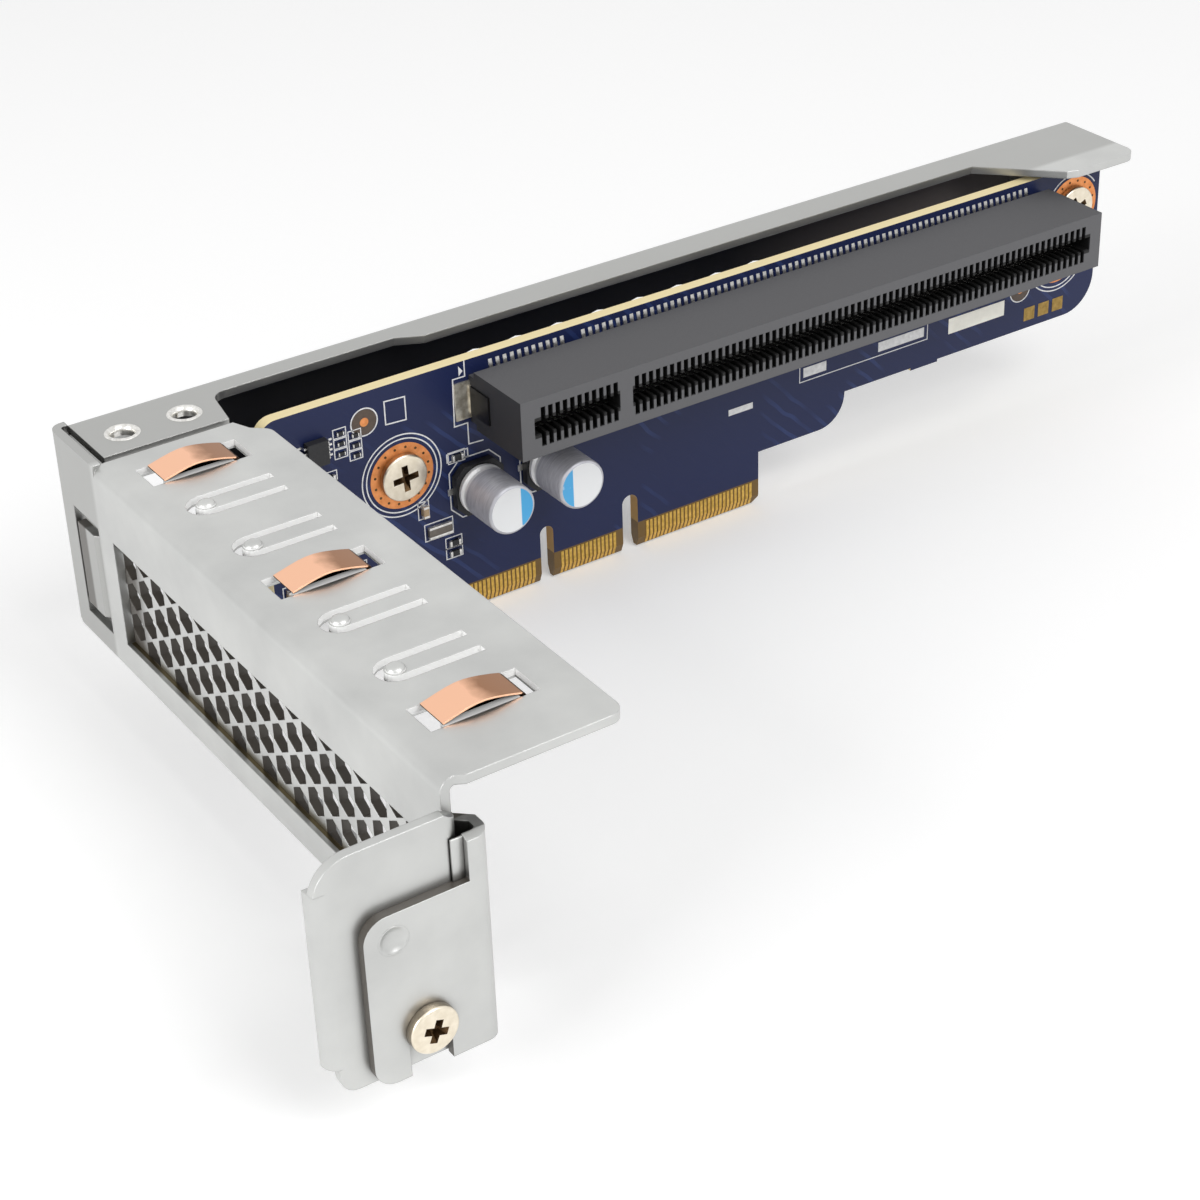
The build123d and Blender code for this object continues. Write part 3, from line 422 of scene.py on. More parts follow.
# %% Board finish
NAVY = colour(0.010, 0.017, 0.070)
NAVY_TRACE = colour(0.020, 0.036, 0.125)
LAMINATE = colour(0.95, 0.82, 0.48)
LAMINATE_FIBRE = colour(0.55, 0.40, 0.16)
LAMINATE_BROWN = colour(0.42, 0.24, 0.06)
LIP_BROWN = colour(0.17, 0.10, 0.03)
BROWN_FROM_Z = (-16.0, -19.5)
EDGE_TOP_MM = -24.7


def board_finish():
    """Makes the lacquered faces, the bare edges and the brown field under the gold fingers."""
    material, tree, shader = start_finish("navy_lacquered_board", roughness=0.40, specular=0.3, coat=0.03)
    place = object_place(tree)
    waves = add_node(
        tree,
        "TexWave",
        {"Vector": place, "Scale": 220.0, "Distortion": 1.6, "Detail": 1.0},
        bands_direction="DIAGONAL",
    ).outputs["Fac"]
    traces = maths(tree, "GREATER_THAN", waves, 0.86)
    patches = between(tree, grain(tree, 14.0, 2.0), 0.52, 0.6)
    face = blend(tree, maths(tree, "MULTIPLY", traces, patches), NAVY, NAVY_TRACE)
    cut = between(tree, size_of(tree, facing(tree, "Y")), 0.5, 0.4)
    low = between(tree, along(tree, "Z"), *BROWN_FROM_Z)
    laminate = blend(tree, low, LAMINATE, LAMINATE_BROWN)
    fibres = grain(tree, 0.25, 2.0, (0.2, 3.0, 1.0))
    laminate = blend(tree, maths(tree, "MULTIPLY", fibres, 0.35), laminate, LAMINATE_FIBRE)
    skin = blend(tree, cut, face, laminate)
    field = between(tree, along(tree, "Z"), EDGE_TOP_MM + 0.05, EDGE_TOP_MM - 0.05)
    feed(tree, shader, Base_Color=blend(tree, field, skin, LIP_BROWN))
    rough_skin(tree, shader, traces, 0.006)
    return material


board = board_finish()
print("made", board.name)

# %% [markdown]
# ## Gold, copper, tin and nickel
# The bare metals differ in colour and in how even they are. Hard gold on the edge is smooth and deep
# yellow, the copper rings are dull orange, solder is bright and slightly lumpy, and the screws are
# nickel plated with a warm cream tint. One function with a few values makes them all, since each is
# a metal with a little noise in its tone and its relief.


# %% Bare metals
def metal_finish(name, light, dark, roughness, lump_mm, depth_mm=0.003, metallic=1.0):
    """Makes a metal whose tone drifts between two colours."""
    material, tree, shader = start_finish(name, metallic=metallic, roughness=roughness)
    lumps = grain(tree, lump_mm, 4.0)
    feed(tree, shader, Base_Color=blend(tree, between(tree, lumps, 0.3, 0.7), dark, light))
    rough_skin(tree, shader, lumps, depth_mm)
    return material


gold = metal_finish("hard_gold", colour(0.84, 0.55, 0.14), colour(0.54, 0.33, 0.07), 0.32, 0.5)
dull_gold = metal_finish("dull_gold", colour(0.42, 0.28, 0.09), colour(0.26, 0.17, 0.05), 0.42, 0.6)
# Painted shade: a darker nickel for the side of each screw head.
nickel_side = metal_finish("nickel_side", colour(0.40, 0.34, 0.26), colour(0.26, 0.22, 0.17), 0.35, 0.8)
copper_pour = metal_finish("bare_copper", colour(0.86, 0.36, 0.14), colour(0.66, 0.24, 0.08), 0.45, 0.9)
tin = metal_finish("solder_tin", colour(0.88, 0.87, 0.84), colour(0.62, 0.61, 0.58), 0.30, 0.4, 0.01)
nickel = metal_finish("nickel_plate", colour(0.88, 0.80, 0.66), colour(0.74, 0.66, 0.52), 0.30, 0.8)
# Painted shade: dark brown for the screw recesses and the holes of the vias.
recess_brown = metal_finish("recess_brown", colour(0.16, 0.10, 0.05), colour(0.07, 0.04, 0.02), 0.5, 0.4)
STANDOFF_TONES = (colour(0.62, 0.60, 0.55), colour(0.50, 0.48, 0.44))
standoff_steel = metal_finish("standoff_steel", *STANDOFF_TONES, 0.38, 1.5)
print("made 8 bare metals")

# %% [markdown]
# ## Spring copper with painted shade
# The grounding springs are beryllium copper strip. The side that looks at the slot face is salmon
# pink, and the far side is painted dark brown as shade. The surface's own direction drives the mix,
# so that the change falls on the crest of each arch, as it does on the real springs. The strip's
# underside lies in deep shade and the cut lip of the window before it catches the light, so the
# underside's finish paints shade and the lip's finish paints light.

# %% Spring finish
SPRING_PINK = colour(0.92, 0.54, 0.36)
SPRING_SHADED = colour(0.34, 0.17, 0.09)
SHADE_EDGE_MM = 2.0
SHADE_EDGE_SWAY = 0.24
SHADE_FROM_LEAN = (0.08, 0.30)


def spring_finish():
    """Makes the copper strip, with painted shade past its crest."""
    material, tree, shader = start_finish("spring_copper", metallic=1.0, roughness=0.34)
    edge_wobble = grain(tree, SHADE_EDGE_MM, 4.0)
    lean = maths(tree, "ADD", facing(tree, "X"), maths(tree, "MULTIPLY", edge_wobble, SHADE_EDGE_SWAY))
    # Painted shade: faces turned towards +X are mixed to dark brown, along a noisy edge.
    shaded_side = between(tree, lean, *SHADE_FROM_LEAN)
    feed(tree, shader, Base_Color=blend(tree, shaded_side, SPRING_PINK, SPRING_SHADED))
    rough_skin(tree, shader, grain(tree, 0.3, 2.0, (0.1, 1.0, 1.0)), 0.003, 0.08)
    return material


spring_copper = spring_finish()
# Painted shade: a near black copper for the strip's underside, fold and foot.
UNDER_LIGHT = colour(0.085, 0.045, 0.025)
UNDER_DARK = colour(0.03, 0.016, 0.01)
spring_shade = metal_finish("spring_underside", UNDER_LIGHT, UNDER_DARK, 0.6, 1.0)
# Painted light: a pale grey without metal sheen for the lips of the spring windows.
LIP_LIGHT = colour(0.80, 0.80, 0.79)
LIP_DARK = colour(0.70, 0.70, 0.69)
lit_lip = metal_finish("lit_lip", LIP_LIGHT, LIP_DARK, 0.6, 2.0, metallic=0.0)
print("made", spring_copper.name, spring_shade.name, "and", lit_lip.name)

# %% [markdown]
# ## Moulded plastics, resin and ink
# The capacitor bases and the chips are dark moulded plastic, the small parts are glazed or ceramic,
# and the board's print is thick white ink. They share one function, in which fine noise lifts the
# tone and the relief, as a moulded skin does.


# %% Plastics
def plastic_finish(name, tone, roughness, grain_mm, depth_mm, soften_mm=0.0, specular=0.4):
    """Makes a moulded plastic with a fine grain."""
    material, tree, shader = start_finish(name, roughness=roughness, specular=specular)
    fine = grain(tree, grain_mm, 4.0)
    light = colour(*[value * 1.12 for value in tone])
    dark = colour(*[value * 0.88 for value in tone])
    feed(tree, shader, Base_Color=blend(tree, between(tree, fine, 0.3, 0.7), dark, light))
    rough_skin(tree, shader, fine, depth_mm, soften_mm)
    return material


base_plastic = plastic_finish("base_plastic", (0.012, 0.012, 0.014), 0.45, 0.5, 0.004, 0.10)
chip_resin = plastic_finish("chip_resin", (0.022, 0.022, 0.024), 0.5, 0.25, 0.004)
resistor_glaze = plastic_finish("resistor_glaze", (0.018, 0.018, 0.020), 0.25, 0.4, 0.002)
ceramic = plastic_finish("capacitor_ceramic", (0.42, 0.30, 0.18), 0.4, 0.3, 0.002)
ink = plastic_finish("legend_ink", (0.80, 0.80, 0.80), 0.5, 0.6, 0.002)
label_ink = plastic_finish("label_ink", (0.97, 0.95, 0.86), 0.5, 3.0, 0.001)
disc_brown = plastic_finish("bare_disc", (0.10, 0.072, 0.055), 0.5, 0.5, 0.002)
sense_body = plastic_finish("sense_body", (0.15, 0.13, 0.11), 0.4, 0.4, 0.002)
print("made 8 plastics and inks")

# %% [markdown]
# ## The slot housing
# The housing is glass filled plastic: charcoal, matte and very slightly grainy. Its long mouth has a
# sloping lead-in, and behind it a cavity for each contact. Little light gets in there, so a mask from
# the place paints the mouth and the cavities black as shade, where light alone would leave them grey.
# The end of the housing lies in shade and its front catches more light, so two masks from the
# surface's direction paint the end darker as shade and the front paler as light.

# %% Housing finish
MOUTH_RUNS = ((1.8, 13.6), (15.4, 87.2))
MOUTH_HALF = 1.32
CAVITY_HALF = 2.62
HOUSING_X = (0.4, 88.6)
HOUSING_END_SHADE = colour(0.022, 0.022, 0.025)
HOUSING_FRONT_LIT = colour(0.118, 0.118, 0.124)
MOUTH_BLACK = colour(0.002, 0.002, 0.002)


def darken_inside(material, front_mm):
    """Paints the mouth, its lead-in and the contact cavities black as shade, the end darker as shade and
    the front paler as light.
    """
    tree = material.node_tree
    shader = tree.nodes["Principled BSDF"]
    tone = shader.inputs["Base Color"].links[0].from_socket
    x = along(tree, "X")
    y = along(tree, "Y")
    off_middle = size_of(tree, along(tree, "Z"))
    inside = all_of(
        tree,
        between(tree, y, front_mm + 0.10, front_mm + 0.30),
        between(tree, off_middle, CAVITY_HALF, CAVITY_HALF - 0.06),
        within(tree, x, *HOUSING_X, 0.1),
    )
    front = between(tree, y, front_mm + 0.2, front_mm + 0.1)
    runs = [within(tree, x, start - 0.05, end + 0.05, 0.1) for start, end in MOUTH_RUNS]
    near_mouth = between(tree, off_middle, MOUTH_HALF + 0.04, MOUTH_HALF - 0.04)
    lead_in = all_of(tree, front, near_mouth, any_of(tree, *runs))
    # Painted shade on the end and painted light on the front, chosen by the surface's direction.
    tone = blend(tree, between(tree, facing(tree, "X"), -0.5, -0.8), tone, HOUSING_END_SHADE)
    tone = blend(tree, between(tree, facing(tree, "Y"), -0.5, -0.8), tone, HOUSING_FRONT_LIT)
    feed(tree, shader, Base_Color=blend(tree, any_of(tree, inside, lead_in), tone, MOUTH_BLACK))


housing_plastic = plastic_finish("housing_plastic", (0.082, 0.082, 0.087), 0.60, 0.12, 0.004, 0.12)
housing_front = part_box("slot_housing")[0][1] / MM
darken_inside(housing_plastic, housing_front)
print("blackened the mouth from", round(housing_front, 2), "mm inwards")

# %% [markdown]
# ## Soldered hold-downs
# A bent tin plated leg at each end of the slot takes the strain off its contacts. The foot is wet
# with lumpy solder, and the rising leg stands in the housing's shade. One finish shows both, with the
# height above the board as the mask.

# %% Hold-down finish
SOLDER_LIGHT = colour(0.90, 0.86, 0.76)
SOLDER_DARK = colour(0.42, 0.37, 0.28)
LEG_SHADE = colour(0.022, 0.021, 0.022)
LEG_FROM_Y = (-0.45, -0.6)


def hold_down_finish():
    """Makes the tin of the hold-downs, whose rising leg is dark."""
    material, tree, shader = start_finish("hold_down_tin", metallic=0.8, roughness=0.35)
    lumps = between(tree, grain(tree, 0.9, 3.0), 0.3, 0.7)
    foot = blend(tree, lumps, SOLDER_DARK, SOLDER_LIGHT)
    leg = between(tree, along(tree, "Y"), *LEG_FROM_Y)
    feed(tree, shader, Base_Color=blend(tree, leg, foot, LEG_SHADE))
    rough_skin(tree, shader, lumps, 0.006)
    return material


hold_down_tin = hold_down_finish()
print("made", hold_down_tin.name)

# %% [markdown]
# ## Finishes on the carried-over solids
# Many solids need nothing but their finish, which follows from the material slot that the model's
# record gives each one. Two nodes then get a finish of their own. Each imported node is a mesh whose
# faces are split along the CAD edges, so smooth shading rounds the bends and keeps the edges crisp.

# %% Assign the finishes
FINISH_OF_SLOT = {
    "zinc_steel": steel,
    "navy_board": board,
    "gold_plating": gold,
    "slot_plastic": housing_plastic,
    "tin_plating": tin,
    "can_aluminium": tin,
    "base_plastic": base_plastic,
    "chip_resin": chip_resin,
    "ceramic": ceramic,
    "resistor_glaze": resistor_glaze,
    "nickel_screw": nickel,
    "standoff_steel": standoff_steel,
    "spring_copper": spring_copper,
}
slot_of_node = {part["node"]: part["material_slot"] for part in frame["record"]["subparts"]}
for name, node in nodes.items():
    node.data.materials.clear()
    node.data.materials.append(FINISH_OF_SLOT[slot_of_node[name]])
    node.data.polygons.foreach_set("use_smooth", [True] * len(node.data.polygons))
nodes["vent_plate"].data.materials[0] = vent_steel
nodes["slot_hold_downs"].data.materials[0] = hold_down_tin
print("finished", len(nodes), "solids")

# %% [markdown]
# ## Turning a mesh into a finished piece
# Each added piece starts as a bmesh. The same last steps follow every time: make the object, keep
# edges crisp above an angle, give it its finishes and let it ride with the frame.


# %% Finish a piece
def finish_piece(name, bm, finishes, replaced=(), crisp_degrees=38):
    """Turns a bmesh into a named piece that rides with the object."""
    bmesh.ops.recalc_face_normals(bm, faces=bm.faces)
    mesh = bpy.data.meshes.new(name)
    bm.to_mesh(mesh)
    bm.free()
    mesh.shade_smooth()
    mesh.set_sharp_from_angle(angle=math.radians(crisp_degrees))
    piece = bpy.data.objects.new(name, mesh)
    bpy.context.scene.collection.objects.link(piece)
    for finish in finishes:
        mesh.materials.append(finish)
    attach(piece, "root")
    if replaced:
        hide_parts(*replaced)
    print("made", name, "with", len(mesh.polygons), "faces")
    return piece


# %% [markdown]
# ## Thin layers on the board
# Ink and copper are only hundredths of a millimetre thick. They could be painted by the board's
# finish, but a real layer keeps a sharp outline in a close view. Two helpers make them: a ribbon that
# follows a line at a constant width, and a plate that fills an outline. Both stand on the board's
# face, where y is zero and the component side looks towards -Y. Both use the first function here,
# which skins every strip of this lesson from row to row of corners.

# %% Ribbons and plates
INK_MM = 0.02
COPPER_MM = 0.03


def join_rows(bm, rows, finish=0, looped=False):
    """Skins a strip from row to row of corners, closes its ends unless it loops, and gives its sides."""
    following = rows[1:] + rows[:1] if looped else rows[1:]
    sides = []
    for one, two in zip(rows, following):
        for k in range(len(one)):
            m = (k + 1) % len(one)
            sides.append(bm.faces.new((one[k], one[m], two[m], two[k])))
    ends = [] if looped else [bm.faces.new(rows[0]), bm.faces.new(rows[-1][::-1])]
    for face in sides + ends:
        face.material_index = finish
    return sides


def layer_point(point, depth_mm):
    """Puts a drawn point at a height above the board's component face."""
    return Vector((point[0] * MM, -depth_mm * MM, point[1] * MM))


def add_plate(bm, outline, depth_mm, finish=0, back_mm=0.0):
    """Adds a filled layer with the given outline."""
    rows = [[bm.verts.new(layer_point(p, depth)) for p in outline] for depth in (depth_mm, back_mm)]
    join_rows(bm, rows, finish)


def side_points(points, width, closed):
    """Gives the points on both sides of a line, mitred at its corners."""
    count = len(points)
    left = []
    right = []
    for i, here in enumerate(points):
        before = points[i - 1] if (i or closed) else None
        after = points[(i + 1) % count] if (i < count - 1 or closed) else None
        ways = []
        if before is not None:
            ways.append((Vector(here) - Vector(before)).normalized())
        if after is not None:
            ways.append((Vector(after) - Vector(here)).normalized())
        way = sum(ways, Vector((0.0, 0.0))).normalized()
        across = Vector((-way.y, way.x))
        reach = width / 2 / max(0.4, across.dot(Vector((-ways[0].y, ways[0].x))))
        left.append(Vector(here) + across * reach)
        right.append(Vector(here) - across * reach)
    return left, right


def add_ribbon(bm, points, width, depth_mm, closed=True):
    """Adds a layer of constant width along a line."""
    left, right = side_points(points, width, closed)
    rows = []
    for a, b in zip(left, right):
        corners = ((a, depth_mm), (b, depth_mm), (b, 0.0), (a, 0.0))
        rows.append([bm.verts.new(layer_point(p, depth)) for p, depth in corners])
    join_rows(bm, rows, looped=closed)


print("layers are", INK_MM, "and", COPPER_MM, "mm thick")

# %% [markdown]
# ## Outlines to lay them on
# A layer's line or outline is a list of places on the board's face, given as X and Z. Circles, arcs
# and rectangles cover nearly all of them, so each has a short function.

# %% Circles and rectangles
RING_STEPS = 96


def circle(centre, radius, start=0.0, end=360.0):
    """Gives points along a circle or an arc, in degrees from +X towards +Z."""
    whole = end - start >= 360.0
    steps = max(8, int(RING_STEPS * (end - start) / 360.0))
    last = steps if whole else steps + 1
    angles = [math.radians(start + (end - start) * i / steps) for i in range(last)]
    return [(centre[0] + radius * math.cos(a), centre[1] + radius * math.sin(a)) for a in angles]


def rectangle(low, high):
    """Gives the corners of a rectangle."""
    return [(low[0], low[1]), (high[0], low[1]), (high[0], high[1]), (low[0], high[1])]


print("a full circle has", RING_STEPS, "points")

# %% [markdown]
# ## Bare copper round the fixings
# Each board screw lands on a bare copper ring that earths the board to the frame, with a circle of
# small plated vias in it. The open hole at the far end has a slightly thinner ring without vias. A
# ring is a ribbon along a circle, and each via is a tiny disc standing a hair above it, painted dark
# brown as the shade in its hole.

# %% Copper rings and vias
near_screw = middle("board_screw_near") / MM
far_screw = middle("board_screw_far") / MM
NEAR_FIXING = (near_screw.x, near_screw.z)
FAR_FIXING = (far_screw.x, far_screw.z)
OPEN_HOLE = (FAR_FIXING[0] - 2.2, FAR_FIXING[1] - 6.5)
SCREW_RING = (1.75, 4.2)
OPEN_RING = (2.15, 3.9)
OPEN_RING_SHARE = 0.8
VIA_RADIUS = 0.17
VIA_CIRCLE = 3.62
VIA_COUNT = 16
VIA_SHARE = 1.5


def add_ring(bm, centre, inside, outside, depth_mm):
    """Adds a flat ring between two radii."""
    add_ribbon(bm, circle(centre, (inside + outside) / 2), outside - inside, depth_mm)


rings = bmesh.new()
for fixing in (NEAR_FIXING, FAR_FIXING):
    add_ring(rings, fixing, *SCREW_RING, COPPER_MM)
add_ring(rings, OPEN_HOLE, *OPEN_RING, COPPER_MM * OPEN_RING_SHARE)
finish_piece("copper_rings", rings, [copper_pour])

vias = bmesh.new()
for fixing in (NEAR_FIXING, FAR_FIXING):
    for i in range(VIA_COUNT):
        turn = math.tau * (i + 0.5) / VIA_COUNT
        spot = (fixing[0] + VIA_CIRCLE * math.cos(turn), fixing[1] + VIA_CIRCLE * math.sin(turn))
        add_plate(vias, circle(spot, VIA_RADIUS)[::8], COPPER_MM * VIA_SHARE)
# Each via disc is painted dark brown, as the shade in its hole.
finish_piece("ring_vias", vias, [recess_brown])

# %% [markdown]
# ## Fiducials and probe squares
# A fiducial is a bare copper dot in a clear disc with a white ring, by which the placing machine finds
# the board. Three plated squares near the far corner are for test probes. All are plates, with the dot
# standing higher than its disc so that the two faces never share a plane.

# %% Fiducials and squares
FIDUCIALS = ((-14.05, 1.26), (86.0, -10.4))
CLEAR_RADIUS = 1.6
DOT_RADIUS = 0.55
CLEAR_SHARE = 0.6
DOT_SHARE = 1.2
PROBE_SIZE = 1.9
PROBE_X = (87.9, 90.45, 93.0)
PROBE_Z = -14.4

fiducials = bmesh.new()
for centre in FIDUCIALS:
    add_plate(fiducials, circle(centre, CLEAR_RADIUS)[::2], COPPER_MM * CLEAR_SHARE, finish=0)
    add_plate(fiducials, circle(centre, DOT_RADIUS)[::4], COPPER_MM * DOT_SHARE, finish=1)
finish_piece("fiducial_marks", fiducials, [disc_brown, copper_pour])

probes = bmesh.new()
half = PROBE_SIZE / 2
for x in PROBE_X:
    add_plate(probes, rectangle((x - half, PROBE_Z - half), (x + half, PROBE_Z + half)), COPPER_MM)
finish_piece("probe_squares", probes, [dull_gold])

# %% [markdown]
# ## White rings and outlines
# The board's legend is white ink: rings round the fixings and the fiducials, eight sided outlines
# round the capacitors, and a frame round each small part. Each is a ribbon. The frames are worked out
# from the small parts' own boxes, so they fit whatever the model holds.

# %% Rings and part outlines
LINE_WIDTH = 0.16
THIN_LINE = LINE_WIDTH * 0.8
NEAR_RINGS = (4.72, 5.28)
FAR_ARC = (4.66, 35, 215)
OPEN_HOLE_ARCS = ((4.55, 190, 352), (5.1, 190, 352))
FIDUCIAL_GAP = 0.12
CAN_FRAME = (3.55, 3.9)
CAN_FRAME_CUT = 1.5
SMALL_MARGIN = 0.32


def cut_corners(low, high, cut):
    """Gives a rectangle with its corners cut away."""
    return [
        (low[0] + cut, low[1]),
        (high[0] - cut, low[1]),
        (high[0], low[1] + cut),
        (high[0], high[1] - cut),
        (high[0] - cut, high[1]),
        (low[0] + cut, high[1]),
        (low[0], high[1] - cut),
        (low[0], low[1] + cut),
    ]


legend = bmesh.new()
for radius in NEAR_RINGS:
    add_ribbon(legend, circle(NEAR_FIXING, radius), LINE_WIDTH, INK_MM)
add_ribbon(legend, circle(FAR_FIXING, *FAR_ARC), LINE_WIDTH, INK_MM, closed=False)
for arc in OPEN_HOLE_ARCS:
    add_ribbon(legend, circle(OPEN_HOLE, *arc), LINE_WIDTH, INK_MM, closed=False)
for centre in FIDUCIALS:
    add_ribbon(legend, circle(centre, CLEAR_RADIUS + FIDUCIAL_GAP), LINE_WIDTH, INK_MM)
can_places = [middle("capacitor_base_left") / MM, middle("capacitor_base_right") / MM]
for place in can_places:
    low = (place.x - CAN_FRAME[0], place.z - CAN_FRAME[1])
    high = (place.x + CAN_FRAME[0], place.z + CAN_FRAME[1])
    add_ribbon(legend, cut_corners(low, high, CAN_FRAME_CUT), LINE_WIDTH, INK_MM)
for low, high in small_boxes + loose_boxes("chip_capacitors") + loose_boxes("sense_resistor"):
    low_corner = (low.x / MM - SMALL_MARGIN, low.z / MM - SMALL_MARGIN)
    high_corner = (high.x / MM + SMALL_MARGIN, high.z / MM + SMALL_MARGIN)
    add_ribbon(legend, rectangle(low_corner, high_corner), THIN_LINE, INK_MM)
print("drew", len(legend.faces), "faces of ink so far")

# %% [markdown]
# ## Plain marks and fields
# The rest of the ink is plain: the line and the arrow at the slot's end, two empty boxes, a short bar,
# a frame that holds two bars, and one larger cream field. They join the outlines in one piece of ink,
# apart from the field, whose ink is warmer.

# %% Marks and fields
MARK_BOX = ((-11.3, 3.0), (-8.6, 2.85), (-8.6, -0.1), (-11.3, 0.05))
SLOT_END_LINE = (
    (-0.5, 5.0),
    (-0.5, 3.0),
    (-2.15, 3.0),
    (-2.3, -3.1),
    (-0.5, -3.1),
    (-0.5, -5.9),
    (1.5, -6.0),
)
SLOT_ARROW = ((-1.3, 4.5), (-1.3, 3.2), (-0.75, 3.75))
WHITE_BAR = ((37.4, -14.2), (41.2, -13.35))
WHITE_LABEL = ((73.55, -13.35), (83.3, -11.15))
FRAME_BOX = ((48.7, -12.95), (69.9, -10.5))
FRAME_BARS = ((49.3, 53.0), (61.6, 69.3))
FRAME_INSET = 0.55
SMALL_BOX = ((-3.6, -7.45), (-0.75, -6.4))

add_ribbon(legend, MARK_BOX, LINE_WIDTH, INK_MM)
add_ribbon(legend, SLOT_END_LINE, LINE_WIDTH, INK_MM, closed=False)
add_plate(legend, SLOT_ARROW, INK_MM)
add_plate(legend, rectangle(*WHITE_BAR), INK_MM)
add_ribbon(legend, rectangle(*FRAME_BOX), THIN_LINE, INK_MM)
bar_low = FRAME_BOX[0][1] + FRAME_INSET
bar_high = FRAME_BOX[1][1] - FRAME_INSET
for bar_start, bar_end in FRAME_BARS:
    add_plate(legend, rectangle((bar_start, bar_low), (bar_end, bar_high)), INK_MM)
add_ribbon(legend, rectangle(*SMALL_BOX), LINE_WIDTH, INK_MM)
finish_piece("legend_lines", legend, [ink])

label = bmesh.new()
add_plate(label, rectangle(*WHITE_LABEL), INK_MM)
finish_piece("white_field", label, [label_ink])

# %% [markdown]
# ## Gold fingers on the board's back
# The board is plugged in on both faces, so the back has the same row of fingers as the front. They are
# laid from the boxes of the front fingers, mirrored through the board.

# %% Fingers on the back
BACK_FINGER_MM = 0.05

back_fingers = bmesh.new()
for low, high in loose_boxes("edge_contacts"):
    outline = rectangle((low.x / MM, low.z / MM), (high.x / MM, high.z / MM))
    add_plate(back_fingers, outline, -BOARD_BACK_MM, back_mm=-BOARD_BACK_MM - BACK_FINGER_MM)
finish_piece("back_edge_contacts", back_fingers, [gold])

# %% [markdown]
# ## Turned pieces
# The capacitor cans and the screws are round about an axis that stands out from the board, and a few
# pressed details are round about an upright axis. One lathe helper spins a profile of radius and
# height round either axis. Typing a profile is closer to how such pieces are turned or drawn than
# stacking cylinders, and it gives the soft corners that catch the light.

# %% Lathe
LATHE_STEPS = 72


def out_from_board(centre):
    """Places lathe points round an axis along Y, where the height is Y itself."""
    return lambda radius, turn, height: Vector(
        (centre[0] + radius * math.cos(turn), height, centre[1] + radius * math.sin(turn))
    )


def upright_axis(centre):
    """Places lathe points round an upright axis, where the height is Z itself."""
    return lambda radius, turn, height: Vector(
        (centre[0] + radius * math.cos(turn), centre[1] + radius * math.sin(turn), height)
    )


def add_lathe(bm, place, profile, finishes=()):
    """Spins a profile of radius and height, with a finish number for each band if given."""
    rings = []
    for radius, height in profile:
        count = LATHE_STEPS if radius else 1
        turns = [math.tau * i / LATHE_STEPS for i in range(count)]
        rings.append([bm.verts.new(place(radius, turn, height) * MM) for turn in turns])
    for band, (one, two) in enumerate(zip(rings, rings[1:])):
        for i in range(LATHE_STEPS):
            j = (i + 1) % LATHE_STEPS
            corners = (one[i % len(one)], one[j % len(one)], two[j % len(two)], two[i % len(two)])
            face = bm.faces.new(list(dict.fromkeys(corners)))
            face.material_index = finishes[band] if finishes else 0


print("the lathe has", LATHE_STEPS, "steps")

# %% [markdown]
# ## Capacitor cans
# Each capacitor is an aluminium can drawn from one disc, rolled tight to its rubber bung by a groove
# near the board, with a white printed top that carries a blue segment for the polarity. The groove
# and the rounded shoulder go in the profile. The segment is a field of colour in the top's finish,
# because it is printed on the same flat face, and its edge is a straight line across the disc.

# %% Can finishes
BLUE_FROM_CENTRE = 1.25
BLUE_PRINT = colour(0.075, 0.42, 0.78)
WHITE_PRINT = colour(0.86, 0.87, 0.88)
CAN_LIGHT = colour(0.62, 0.62, 0.66)
CAN_DARK = colour(0.46, 0.46, 0.50)
CAN_BAND = colour(0.92, 0.92, 0.92)
BAND_FROM_Y = (-2.95, -2.85)


def can_side_finish():
    """Makes satin aluminium with fine lines round the can and a brighter rolled band."""
    material, tree, shader = start_finish("can_aluminium", metallic=0.4, roughness=0.46)
    lines = grain(tree, 0.22, 2.0, (0.15, 1.0, 0.15))
    side = blend(tree, between(tree, lines, 0.3, 0.7), CAN_DARK, CAN_LIGHT)
    band = between(tree, along(tree, "Y"), *BAND_FROM_Y)
    feed(tree, shader, Base_Color=blend(tree, band, side, CAN_BAND))
    rough_skin(tree, shader, lines, 0.003)
    return material


def can_top_finish():
    """Makes the white printed top with its blue segment, which faces the other can."""
    material, tree, shader = start_finish("can_top_print", roughness=0.38)
    left, right = (place.x for place in can_places)
    x = along(tree, "X")
    segment = within(tree, x, left + BLUE_FROM_CENTRE - 0.02, right - BLUE_FROM_CENTRE + 0.02, 0.04)
    worn = all_of(tree, segment, between(tree, grain(tree, 0.5, 4.0), 0.16, 0.34))
    feed(tree, shader, Base_Color=blend(tree, worn, WHITE_PRINT, BLUE_PRINT))
    rough_skin(tree, shader, grain(tree, 0.6, 2.0), 0.003)
    return material


can_side = can_side_finish()
can_top = can_top_finish()
print("made", can_side.name, "and", can_top.name)

# %% [markdown]
# Now the cans themselves. The heights run from the bung's side to the top, and each step in the
# profile is a step of the real drawn can: foot, rolled bead, groove, straight side, shoulder, and a
# top that sits a hair below its rim.

# %% Cans
CAN_FOOT = ((0.3, 0.0), (0.08, 0.1), (0.0, 0.3))
CAN_BEAD_MM = 0.7
GROOVE_DEPTH = 0.26
GROOVE_SLOPE = 0.3
GROOVE_FLAT = 0.15
CAN_SHOULDER = ((0.0, 0.34), (0.04, 0.17), (0.14, 0.0544), (0.34, 0.0))
CAN_RIM = 0.44
CAN_TOP_SINK = 0.05


